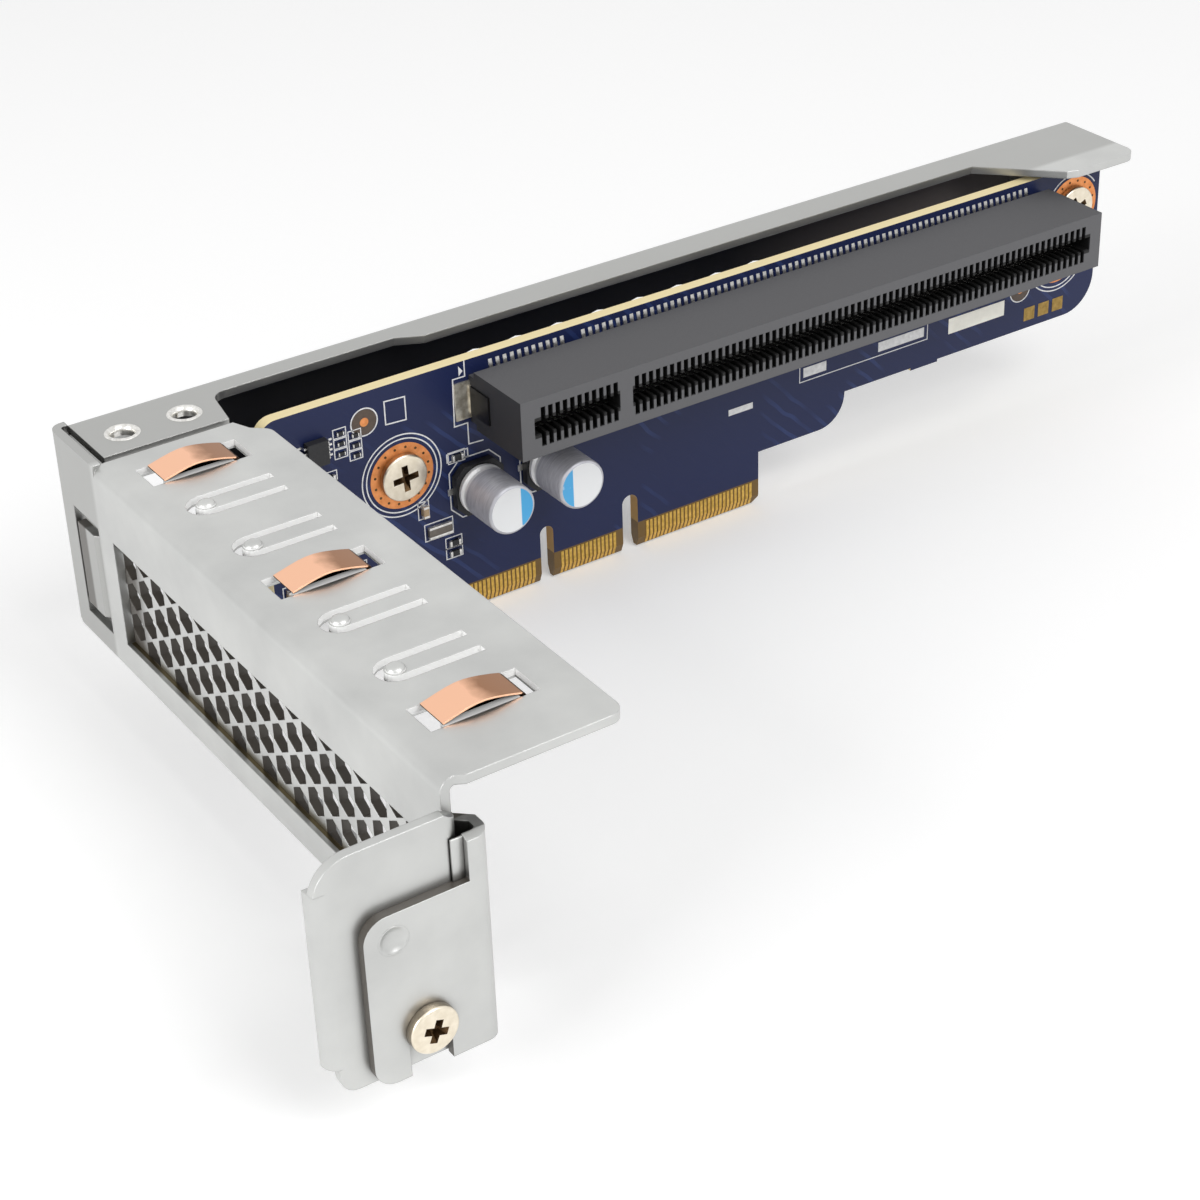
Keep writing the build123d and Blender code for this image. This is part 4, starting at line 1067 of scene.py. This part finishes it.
def can_profile(radius, foot, top):
    """Gives the can's profile, from its foot near the board out to its top."""
    bead = foot - CAN_BEAD_MM
    floor = bead - GROOVE_SLOPE
    profile = [(0.0, foot)]
    profile += [(radius - inset, foot - rise) for inset, rise in CAN_FOOT]
    profile += [
        (radius, bead),
        (radius - GROOVE_DEPTH, floor),
        (radius - GROOVE_DEPTH, floor - GROOVE_FLAT),
        (radius, floor - GROOVE_FLAT - GROOVE_SLOPE),
    ]
    profile += [(radius - inset, top + drop) for inset, drop in CAN_SHOULDER]
    profile += [(radius - CAN_RIM, top + CAN_TOP_SINK), (0.0, top + CAN_TOP_SINK)]
    return profile


def round_part(node_name):
    """Gives the centre, the radius, the outer end and the inner end of a round part on the board."""
    low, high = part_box(node_name)
    centre = ((low[0] + high[0]) / 2 / MM, (low[2] + high[2]) / 2 / MM)
    return centre, (high[0] - low[0]) / 2 / MM, low[1] / MM, high[1] / MM


for side in ("left", "right"):
    node_name = "capacitor_can_" + side
    centre, radius, top, foot = round_part(node_name)
    profile = can_profile(radius, foot, top)
    bands = [0] * (len(profile) - 3) + [1, 1]
    can = bmesh.new()
    add_lathe(can, out_from_board(centre), profile, bands)
    finish_piece("can_" + side, can, [can_side, can_top], [node_name])

# %% [markdown]
# ## Screws
# The screws are pan heads with a cross recess, nickel plated. The head and the shank are one lathe
# profile, with a coarse saw line for the thread. Each band of it has a finish number, since the side
# of the head is painted darker than its face as shade.

# %% Screw profile
SHANK_RADIUS = 1.45
THREAD_STEP = 0.5
THREAD_DEPTH = 0.16
TIP_CHAMFER = (0.35, 0.3)
HEAD_EDGE = (0.06, 0.12)
HEAD_SIDE = 0.7
HEAD_ROUND = (0.4, 0.24)
HEAD_ROUND_TURNS = (20, 45, 70)
HEAD_FACE = (0.5, 0.97)


def screw_profile(radius, height, seat, tip):
    """Gives a screw's profile from the shank's tip to the head's middle, and each band's finish."""
    profile = [(0.0, tip), (SHANK_RADIUS - TIP_CHAMFER[0], tip)]
    level = tip - TIP_CHAMFER[1]
    while level - THREAD_STEP > seat:
        profile.append((SHANK_RADIUS - THREAD_DEPTH, level))
        profile.append((SHANK_RADIUS, level - THREAD_STEP / 2))
        level -= THREAD_STEP
    profile += [(SHANK_RADIUS - THREAD_DEPTH, level), (SHANK_RADIUS - THREAD_DEPTH, seat)]
    shank_bands = len(profile) - 1
    side_top = seat - height * HEAD_SIDE
    profile += [(radius - HEAD_EDGE[0], seat), (radius, seat - HEAD_EDGE[1]), (radius, side_top)]
    side_bands = len(profile) - 1 - shank_bands
    for turn in HEAD_ROUND_TURNS:
        lean = math.radians(turn)
        out = radius - height * HEAD_ROUND[0] * (1 - math.cos(lean))
        profile.append((out, side_top - height * HEAD_ROUND[1] * math.sin(lean)))
    profile += [(radius * HEAD_FACE[0], seat - height * HEAD_FACE[1]), (0.0, seat - height)]
    face_bands = len(profile) - 1 - shank_bands - side_bands
    return profile, [0] * shank_bands + [2] * side_bands + [0] * face_bands


print("thread step", THREAD_STEP, "mm")

# %% [markdown]
# ## Cross recess
# The recess is cut with a boolean, because its four tapering wings are exactly what the punch takes
# out of the real head. It could be modelled face by face in the head, but a cutter is shorter, and
# the cutter's own finish paints the recess dark brown as shade. The modifier's result is kept as the
# mesh.

# %% Cut the recesses
WING_WIDTH = 0.44
WING_DEPTH = 0.85
WING_TAPER = 0.5
CUTTER_ROWS = ((-0.6, 1.25), (WING_DEPTH, WING_TAPER))
WING_CORNERS = ((-1, -1), (1, -1), (1, 1), (-1, 1))


def cross_cutter(centre, top, turn_degrees, wing_length):
    """Makes the four tapering wings that the recess is cut with."""
    bm = bmesh.new()
    for quarter in (0, 90):
        turn = math.radians(turn_degrees + quarter)
        along_way = Vector((math.cos(turn), math.sin(turn)))
        across_way = Vector((-math.sin(turn), math.cos(turn)))
        rows = []
        for depth, scale in CUTTER_ROWS:
            corners = []
            for a, b in WING_CORNERS:
                spot = along_way * a * wing_length * scale + across_way * b * WING_WIDTH * scale
                place = Vector((centre[0] + spot.x, top + depth, centre[1] + spot.y))
                corners.append(bm.verts.new(place * MM))
            rows.append(corners)
        join_rows(bm, rows, finish=1)
    bmesh.ops.recalc_face_normals(bm, faces=bm.faces)
    mesh = bpy.data.meshes.new("cross_cutter")
    bm.to_mesh(mesh)
    bm.free()
    cutter = bpy.data.objects.new("cross_cutter", mesh)
    bpy.context.scene.collection.objects.link(cutter)
    return cutter


def carve(piece, cutter):
    """Cuts one mesh out of another for good, and clears the cutter away."""
    cut = piece.modifiers.new("recess", "BOOLEAN")
    cut.object = cutter
    cut.operation = "DIFFERENCE"
    cut.solver = "EXACT"
    cut.use_self = True
    depsgraph = bpy.context.evaluated_depsgraph_get()
    carved = bpy.data.meshes.new_from_object(piece.evaluated_get(depsgraph))
    piece.modifiers.clear()
    piece.data = carved
    bpy.data.objects.remove(cutter)


SCREW_SEATS = {
    "board_screw_near": (1.0, 4.0, 0.62),
    "board_screw_far": (1.0, 24.0, 0.62),
    "vent_plate_screw": (1.2, -20.0, 0.54),
}
for node_name, (head_height, recess_turn, wing_share) in SCREW_SEATS.items():
    centre, radius, top, tip = round_part(node_name)
    screw = bmesh.new()
    profile, bands = screw_profile(radius, head_height, top + head_height, tip)
    add_lathe(screw, out_from_board(centre), profile, bands)
    piece_name = node_name.replace("_screw", "_pan_screw")
    # The head's side takes the darker nickel of painted shade, and the recess its painted dark brown
    # shade.
    finishes = [nickel, recess_brown, nickel_side]
    piece = finish_piece(piece_name, screw, finishes, [node_name], crisp_degrees=50)
    carve(piece, cross_cutter(centre, top, recess_turn, wing_share * radius))
    print("cut the recess, now", len(piece.data.polygons), "faces")

# %% [markdown]
# ## Chip leads
# The chips stand on gull wing leads: out from the body, down, and flat along the pad. A straight
# wedge would do from afar, but a bent strip shows its bright foot. Each lead follows one short line
# inside the box of its CAD lead, thickened like sheet.

# %% Gull wing leads
LEAD_STRIP = 0.14
LEAD_BENDS = (0.28, 0.48)


def add_strip(bm, line, thickness, z_low, z_high):
    """Adds a bent strip that follows a line in X and Y and is as wide as the given range of Z."""
    left, right = side_points(line, thickness, closed=False)
    rows = []
    for a, b in zip(left, right):
        corners = ((a, z_low), (b, z_low), (b, z_high), (a, z_high))
        rows.append([bm.verts.new(Vector((p.x, p.y, z)) * MM) for p, z in corners])
    join_rows(bm, rows)


def add_gull_wing(bm, low, high, chip_x):
    """Adds one lead inside its box, with its high end at the chip."""
    ends = sorted((low.x / MM, high.x / MM), key=lambda x: abs(x - chip_x))
    reach = ends[1] - ends[0]
    rise = low.y / MM + LEAD_STRIP / 2
    foot = -LEAD_STRIP / 2
    first_bend, second_bend = (ends[0] + share * reach for share in LEAD_BENDS)
    line = ((ends[0], rise), (first_bend, rise), (second_bend, foot), (ends[1], foot))
    add_strip(bm, line, LEAD_STRIP, low.z / MM, high.z / MM)


for chip in ("buffer_chip", "switch_chip"):
    leads = bmesh.new()
    for low, high in loose_boxes(chip + "_leads"):
        add_gull_wing(leads, low, high, middle(chip).x / MM)
    finish_piece(chip + "_gull_wings", leads, [tin], [chip + "_leads"])

# %% [markdown]
# ## Spring strips
# A grounding spring is one strip that arches up through its window and folds back under the flange,
# where its wide foot holds it. Its arch is a ramp up, a short crest and a ramp down, so the line is
# typed point by point: shares of the CAD spring's length, and heights over the flange. The arch has
# the copper finish above and at its edges, and its underside, the fold and the foot have the finish
# of painted shade.

# %% Spring strips
STRIP_THICK = 0.2
STRIP_SIDE = 0.98
ARCH_LINE = (
    (0.075, 0.16),
    (0.16, 0.38),
    (0.26, 0.64),
    (0.36, 0.86),
    (0.45, 0.98),
    (0.54, 0.99),
    (0.63, 0.89),
    (0.73, 0.70),
    (0.84, 0.44),
    (0.93, 0.18),
)
FOLD_LINE = ((0.93, 0.18), (0.965, -0.15), (0.975, -0.70), (0.93, -1.05), (0.84, -1.10), (0.30, -1.10))
FOOT_LINE = ((0.30, -1.10), (0.84, -1.10))
UNDER_SIDE = 1
SPRING_PLACES = ("front", "middle", "rear")


def upright_strip(bm, line, y_low, y_high, lit=False):
    """Adds a bent strip along a line in X and Z, in shade all round, or only below if it is lit."""
    left, right = side_points(line, STRIP_THICK, closed=False)
    rows = []
    for a, b in zip(left, right):
        corners = ((a, y_low), (b, y_low), (b, y_high), (a, y_high))
        rows.append([bm.verts.new(Vector((p.x, y, p.y)) * MM) for p, y in corners])
    sides = join_rows(bm, rows, finish=1)
    if lit:
        for number, side in enumerate(sides):
            if number % 4 != UNDER_SIDE:
                side.material_index = 0


for place in SPRING_PLACES:
    node_name = "grounding_spring_" + place
    low, high = (Vector(corner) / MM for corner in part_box(node_name))
    length = high.x - low.x
    centre_y = (low.y + high.y) / 2
    half_strip = (high.y - low.y) / 2 - STRIP_SIDE
    arch, fold, foot = (
        [(low.x + share * length, FRAME_TOP_MM + rise) for share, rise in line]
        for line in (ARCH_LINE, FOLD_LINE, FOOT_LINE)
    )
    strip = bmesh.new()
    upright_strip(strip, arch, centre_y - half_strip, centre_y + half_strip, lit=True)
    upright_strip(strip, fold, centre_y - half_strip, centre_y + half_strip)
    upright_strip(strip, foot, low.y, high.y)
    finishes = [spring_copper, spring_shade]
    finish_piece("spring_strip_" + place, strip, finishes, [node_name])

# %% [markdown]
# ## Lips of the spring windows
# The near lip of each window reaches in under the arch, which is why only a thin dark gap shows below
# the strip. It is as thick as the sheet that it grows from. It could be cut in the CAD window, but it
# is small and only seen close up, so it is added here, level with the flange.

# %% Near lips of the windows
NEAR_LIP_REACH = 0.9
NEAR_LIP_SHARES = (0.09, 0.90)
NEAR_LIP_SETBACK = 0.8

near_lips = bmesh.new()
for place in SPRING_PLACES:
    low, high = (Vector(corner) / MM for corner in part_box("grounding_spring_" + place))
    start, end = (low.x + share * (high.x - low.x) for share in NEAR_LIP_SHARES)
    near = low.y + NEAR_LIP_SETBACK
    outline = rectangle((start, near), (end, near + NEAR_LIP_REACH))
    rows = []
    for level in (FRAME_TOP_MM - SHEET_MM, FRAME_TOP_MM):
        rows.append([near_lips.verts.new(Vector((x, y, level)) * MM) for x, y in outline])
    join_rows(near_lips, rows)
finish_piece("window_near_lips", near_lips, [lit_lip])

# %% [markdown]
# ## Resistors and small capacitors
# A chip resistor or capacitor is a ceramic block with a tinned cap on each end. The block and the two
# caps are separate boxes with softened edges, sized from the box of the CAD part that they replace.
# The caps go on the two ends of the longer side, except on the sense resistor, which is capped along
# its long sides.

# %% Small two-ended parts
CAP_SHARE = 0.24
BODY_INSET = 0.04
BODY_SOFT = 0.03
CAP_SOFT = 0.05
BLOCK_SIDES = ((0, 1, 3, 2), (4, 6, 7, 5), (0, 4, 5, 1), (2, 3, 7, 6), (0, 2, 6, 4), (1, 5, 7, 3))


def add_block(bm, low, high, finish, soften):
    """Adds a box with softened edges."""
    verts = []
    for x in (low[0], high[0]):
        for y in (low[1], high[1]):
            verts += [bm.verts.new(Vector((x, y, z)) * MM) for z in (low[2], high[2])]
    faces = [bm.faces.new([verts[k] for k in side]) for side in BLOCK_SIDES]
    for face in faces:
        face.material_index = finish
    edges = list({edge for face in faces for edge in face.edges})
    bmesh.ops.bevel(bm, geom=edges, offset=soften * MM, segments=2, affect="EDGES", profile=0.5)


def add_two_ended(bm, low, high, long_caps):
    """Adds one part: its block, and a cap round each end, or along each long side."""
    low = low / MM
    high = high / MM
    wide = high.x - low.x > high.z - low.z
    axis = 0 if wide != long_caps else 2
    cap = (high[axis] - low[axis]) * CAP_SHARE
    inset = Vector((BODY_INSET, 0.0, BODY_INSET))
    body_low = low + inset + Vector((0.0, BODY_INSET, 0.0))
    add_block(bm, body_low, high - inset, 0, BODY_SOFT)
    first_high = high.copy()
    first_high[axis] = low[axis] + cap
    last_low = low.copy()
    last_low[axis] = high[axis] - cap
    add_block(bm, low, first_high, 1, CAP_SOFT)
    add_block(bm, last_low, high, 1, CAP_SOFT)


for node_name, body, long_caps in (
    ("chip_resistors", resistor_glaze, False),
    ("chip_capacitors", ceramic, False),
    ("sense_resistor", sense_body, True),
):
    parts = bmesh.new()
    for low, high in loose_boxes(node_name):
        add_two_ended(parts, low, high, long_caps)
    finish_piece(node_name + "_tinned", parts, [body, tin], [node_name])

# %% [markdown]
# ## Finger tips on the bevel
# The gold of each edge finger runs on over the bevel that eases the board into its socket. Short gold
# plates lie on that slope, on both faces, each under its own finger.

# %% Finger tips
BEVEL_START = -27.0
BEVEL_END = -28.15
BEVEL_SLOPE = 0.45 / 1.2
TIP_THICK = 0.04


def add_finger_tip(bm, x_low, x_high, mirrored):
    """Adds one gold plate on the bevel of one face."""
    slide = (BEVEL_START - BEVEL_END) * BEVEL_SLOPE
    section = (
        (-TIP_THICK, BEVEL_START),
        (slide - TIP_THICK, BEVEL_END),
        (slide, BEVEL_END),
        (0.0, BEVEL_START),
    )
    rows = []
    for x in (x_low, x_high):
        depths = [(BOARD_BACK_MM - y if mirrored else y, z) for y, z in section]
        rows.append([bm.verts.new(Vector((x, y, z)) * MM) for y, z in depths])
    join_rows(bm, rows)


tips = bmesh.new()
for low, high in loose_boxes("edge_contacts"):
    for mirrored in (False, True):
        add_finger_tip(tips, low.x / MM, high.x / MM, mirrored)
finish_piece("finger_tips", tips, [gold])

# %% [markdown]
# ## Domes on the flange fingers
# The tip of each finger cut in the flange is pressed up into a small dome, which touches the part
# beside it. Each dome is a lathe profile, a quarter of an arc, which sits on the CAD form and smooths
# it.

# %% Finger domes
DOME_X = -41.15
DOME_Y = (-54.5, -43.95, -26.0, -15.5)
DOME_RADIUS = 1.0
DOME_HEIGHT = 0.62

dome_profile = [(0.0, FRAME_TOP_MM)]
for degrees in range(0, 90, 15):
    lean = math.radians(degrees)
    dome_profile.append((DOME_RADIUS * math.cos(lean), FRAME_TOP_MM + DOME_HEIGHT * math.sin(lean)))
dome_profile.append((0.0, FRAME_TOP_MM + DOME_HEIGHT))
domes = bmesh.new()
for y in DOME_Y:
    add_lathe(domes, upright_axis((DOME_X, y)), dome_profile)
finish_piece("finger_domes", domes, [steel])

# %% [markdown]
# ## Dish and web of the screw tab
# The vent plate's screw tab has a shallow pressed dish, and beside its ear a narrow web closes the gap
# between the tab and the shelf. The dish is a bowl from the lathe, with a flat ring that hides the
# plain edge of the CAD hollow. The web is a strip of sheet, so it is a thin block with soft edges.

# %% Tab dish and ear web
DISH_CENTRE = (-54.2, -6.0)
DISH_RADIUS = 1.42
DISH_RING = 0.16
DISH_DEPTH = 0.5
DISH_SKIN = 0.01
DISH_BURIED = 0.05
DISH_LINE = ((0.2, 0.97), (0.4, 0.88), (0.6, 0.70), (0.78, 0.44), (0.9, 0.20), (1.0, 0.0))
EAR_LEFT = -46.2
WEB_WIDTH = 1.3
WEB_Y = (0.70, 0.92)
WEB_Z = (-3.1, 1.45)
WEB_SOFT = 0.05

tab_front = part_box("vent_plate")[0][1] / MM
dish_front = tab_front - DISH_SKIN
dish_profile = [(0.0, tab_front + DISH_DEPTH - DISH_SKIN)]
for share, depth in DISH_LINE:
    dish_profile.append((DISH_RADIUS * share, dish_front + (DISH_DEPTH - DISH_SKIN) * depth))
dish_profile.append((DISH_RADIUS + DISH_RING, dish_front))
dish_profile.append((DISH_RADIUS + DISH_RING, tab_front + DISH_BURIED))
dish = bmesh.new()
add_lathe(dish, out_from_board(DISH_CENTRE), dish_profile)
finish_piece("tab_dish", dish, [steel])

web = bmesh.new()
web_low = Vector((EAR_LEFT - WEB_WIDTH, tab_front + WEB_Y[0], WEB_Z[0]))
web_high = Vector((EAR_LEFT, tab_front + WEB_Y[1], WEB_Z[1]))
add_block(web, web_low, web_high, 0, WEB_SOFT)
finish_piece("ear_web", web, [steel])

# %% [markdown]
# ## Rolled lips of the corner holes
# The two holes in the corner flange were punched through and flared, which leaves a rolled lip that
# stands a little proud and narrows the hole below. The lip is a closed lathe profile in the brighter
# tin finish, a painted highlight on the zinc. Its radius and its place come from the mount that the
# model gives for these holes.

# %% Corner hole lips
LIP_DEPTH = 0.40
LIP_REACH = 0.22
LIP_SPREAD = 0.50
LIP_RISE = 0.16

hole_radius = corner_mount["dims"]["hole_r_mm"]
hole_middle = [value / MM for value in corner_mount["pos_m"]]
hole_offset = corner_mount["dims"]["spacing_x_mm"] / 2
sheet_under = FRAME_TOP_MM - SHEET_MM
lip_profile = [
    (hole_radius + LIP_SPREAD, FRAME_TOP_MM),
    (hole_radius + LIP_SPREAD * 0.75, FRAME_TOP_MM + LIP_RISE * 0.8),
    (hole_radius + LIP_SPREAD * 0.4, FRAME_TOP_MM + LIP_RISE),
    (hole_radius, FRAME_TOP_MM + LIP_RISE * 0.2),
    (hole_radius - LIP_REACH * 0.7, FRAME_TOP_MM - LIP_DEPTH * 0.4),
    (hole_radius - LIP_REACH, FRAME_TOP_MM - LIP_DEPTH),
    (hole_radius - LIP_REACH, sheet_under),
    (hole_radius, sheet_under),
    (hole_radius, FRAME_TOP_MM),
    (hole_radius + LIP_SPREAD, FRAME_TOP_MM),
]
lips = bmesh.new()
for x in (hole_middle[0] - hole_offset, hole_middle[0] + hole_offset):
    add_lathe(lips, upright_axis((x, hole_middle[1])), lip_profile)
bmesh.ops.remove_doubles(lips, verts=lips.verts, dist=0.0001 * MM)
# Painted highlight: the lips take the bright tin finish, not the frame's steel.
finish_piece("corner_hole_lips", lips, [tin])

# %% [markdown]
# ## Camera
# The camera stands where the photograph was taken from. Its place and its angles were worked out once
# from the slot's known sizes, and are written here in millimetres and degrees. The lens covers the
# whole object at the 1200 pixel square of the picture, and a small shift sets it in the middle.

# %% Place the camera
CAMERA_AT = (-136.31, -236.58, 138.24)
CAMERA_AZIMUTH = 33.41
CAMERA_TILT = 30.74
CAMERA_ROLL = -1.80
IMAGE_PIXELS = 1200
FOCAL_PIXELS = 2614.3
CENTRE_PIXEL = (616.5, 569.1)
SENSOR_MM = 36.0


def make_camera():
    """Stands the camera at its place and turns it to the photograph's angle."""
    azimuth, tilt, roll = (math.radians(a) for a in (CAMERA_AZIMUTH, CAMERA_TILT, CAMERA_ROLL))
    level_ahead = Vector((math.sin(azimuth), math.cos(azimuth), 0.0))
    ahead = level_ahead * math.cos(tilt) - Vector((0.0, 0.0, math.sin(tilt)))
    level_right = Vector((math.cos(azimuth), -math.sin(azimuth), 0.0))
    level_up = level_right.cross(ahead)
    right = level_right * math.cos(roll) + level_up * math.sin(roll)
    up = right.cross(ahead)
    data = bpy.data.cameras.new("picture_camera")
    data.sensor_width = SENSOR_MM
    data.lens = FOCAL_PIXELS * SENSOR_MM / IMAGE_PIXELS
    data.shift_x = (IMAGE_PIXELS / 2 - CENTRE_PIXEL[0]) / IMAGE_PIXELS
    data.shift_y = (CENTRE_PIXEL[1] - IMAGE_PIXELS / 2) / IMAGE_PIXELS
    data.clip_start = 0.01
    data.clip_end = 20.0
    camera = bpy.data.objects.new("picture_camera", data)
    turn = Matrix((right, up, -ahead)).transposed().to_4x4()
    camera.matrix_world = Matrix.Translation(Vector(CAMERA_AT) * MM) @ turn
    bpy.context.scene.collection.objects.link(camera)
    bpy.context.scene.camera = camera
    return camera


camera = make_camera()
print("lens", round(camera.data.lens, 1), "mm")

# %% [markdown]
# ## Light
# The picture is a bright product shot on white. A white world lights everything softly and gives the
# steel something pale to mirror, one large lamp above the component side gives direction, and a
# smaller one fills the left. The world is brighter for what it shows, to the camera and in the metal,
# than for the light that it sheds, so the object itself is never overlit.

# %% Light the object
SOFT_LEVEL = 0.5
MIRROR_LEVEL = 1.0
KEY_WATTS = 3.4
KEY_FROM = (0.12, -0.62, 0.62)
KEY_SIZE = 0.5
FILL_WATTS = 2.4
FILL_FROM = (-0.66, -0.10, 0.28)
FILL_SIZE = 0.4


def seen_by_rays(tree):
    """Is 1 for rays from the camera, through glass or off metal."""
    rays = add_node(tree, "LightPath").outputs
    return any_of(tree, rays["Is Camera Ray"], rays["Is Transmission Ray"], rays["Is Glossy Ray"])


def make_world():
    """Makes a white surround that is dimmer for the light it sheds than for what it shows."""
    world = bpy.data.worlds.new("white_surround")
    world.use_nodes = True
    tree = world.node_tree
    background = tree.nodes["Background"]
    background.inputs["Color"].default_value = colour(1.0, 1.0, 1.0)
    inputs = {"Value": seen_by_rays(tree), "To Min": SOFT_LEVEL, "To Max": MIRROR_LEVEL}
    level = add_node(tree, "MapRange", inputs)
    tree.links.new(level.outputs["Result"], background.inputs["Strength"])
    bpy.context.scene.world = world


def make_lamp(name, start, size, watts):
    """Hangs a square lamp that looks at the middle of the object."""
    data = bpy.data.lights.new(name, "AREA")
    data.size = size
    data.energy = watts
    lamp = bpy.data.objects.new(name, data)
    target = (cad_low + cad_high) / 2
    lamp.location = target + Vector(start)
    lamp.rotation_euler = (target - lamp.location).to_track_quat("-Z", "Y").to_euler()
    bpy.context.scene.collection.objects.link(lamp)


make_world()
make_lamp("key_lamp", KEY_FROM, KEY_SIZE, KEY_WATTS)
make_lamp("fill_lamp", FILL_FROM, FILL_SIZE, FILL_WATTS)
print("lit with 2 lamps and a white surround")

# %% [markdown]
# ## Floor
# The floor is white paper just below the object's lowest point, and it keeps the object's shadow. A
# lit white floor still renders pale grey, so a faint glow, which only seen rays pick up, lifts it
# close to white without adding light to the object.

# %% Lay the floor
FLOOR_SIZE = 6.0
FLOOR_GAP_MM = 0.2
FLOOR_LIFT = 0.20
PAPER_WHITE = colour(0.93, 0.93, 0.93)


def make_floor():
    """Lays a white floor under the object's lowest point."""
    bm = bmesh.new()
    bmesh.ops.create_grid(bm, x_segments=1, y_segments=1, size=FLOOR_SIZE / 2)
    mesh = bpy.data.meshes.new("floor")
    bm.to_mesh(mesh)
    bm.free()
    floor = bpy.data.objects.new("floor", mesh)
    floor.location = (0.0, 0.0, cad_low.z - FLOOR_GAP_MM * MM)
    material, tree, shader = start_finish("white_floor", roughness=0.8, specular=0.1)
    shader.inputs["Base Color"].default_value = PAPER_WHITE
    shader.inputs["Emission Color"].default_value = colour(1.0, 1.0, 1.0)
    glow = maths(tree, "MULTIPLY", seen_by_rays(tree), FLOOR_LIFT)
    feed(tree, shader, Emission_Strength=glow)
    mesh.materials.append(material)
    bpy.context.scene.collection.objects.link(floor)
    floor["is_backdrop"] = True


make_floor()
bpy.context.scene.view_settings.view_transform = "Standard"
print("the floor lies at", round(cad_low.z / MM - FLOOR_GAP_MM, 2), "mm")

# %% [markdown]
# ## Size after dressing
# The dressed object must stay as large as the CAD model, so the last line prints the largest
# change between the two boxes, in millimetres.

# %% Write the sizes and finish
seen_low, seen_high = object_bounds()
change = max((seen_high - cad_high).length, (seen_low - cad_low).length)
print("largest change in mm", round(change / MM, 3))
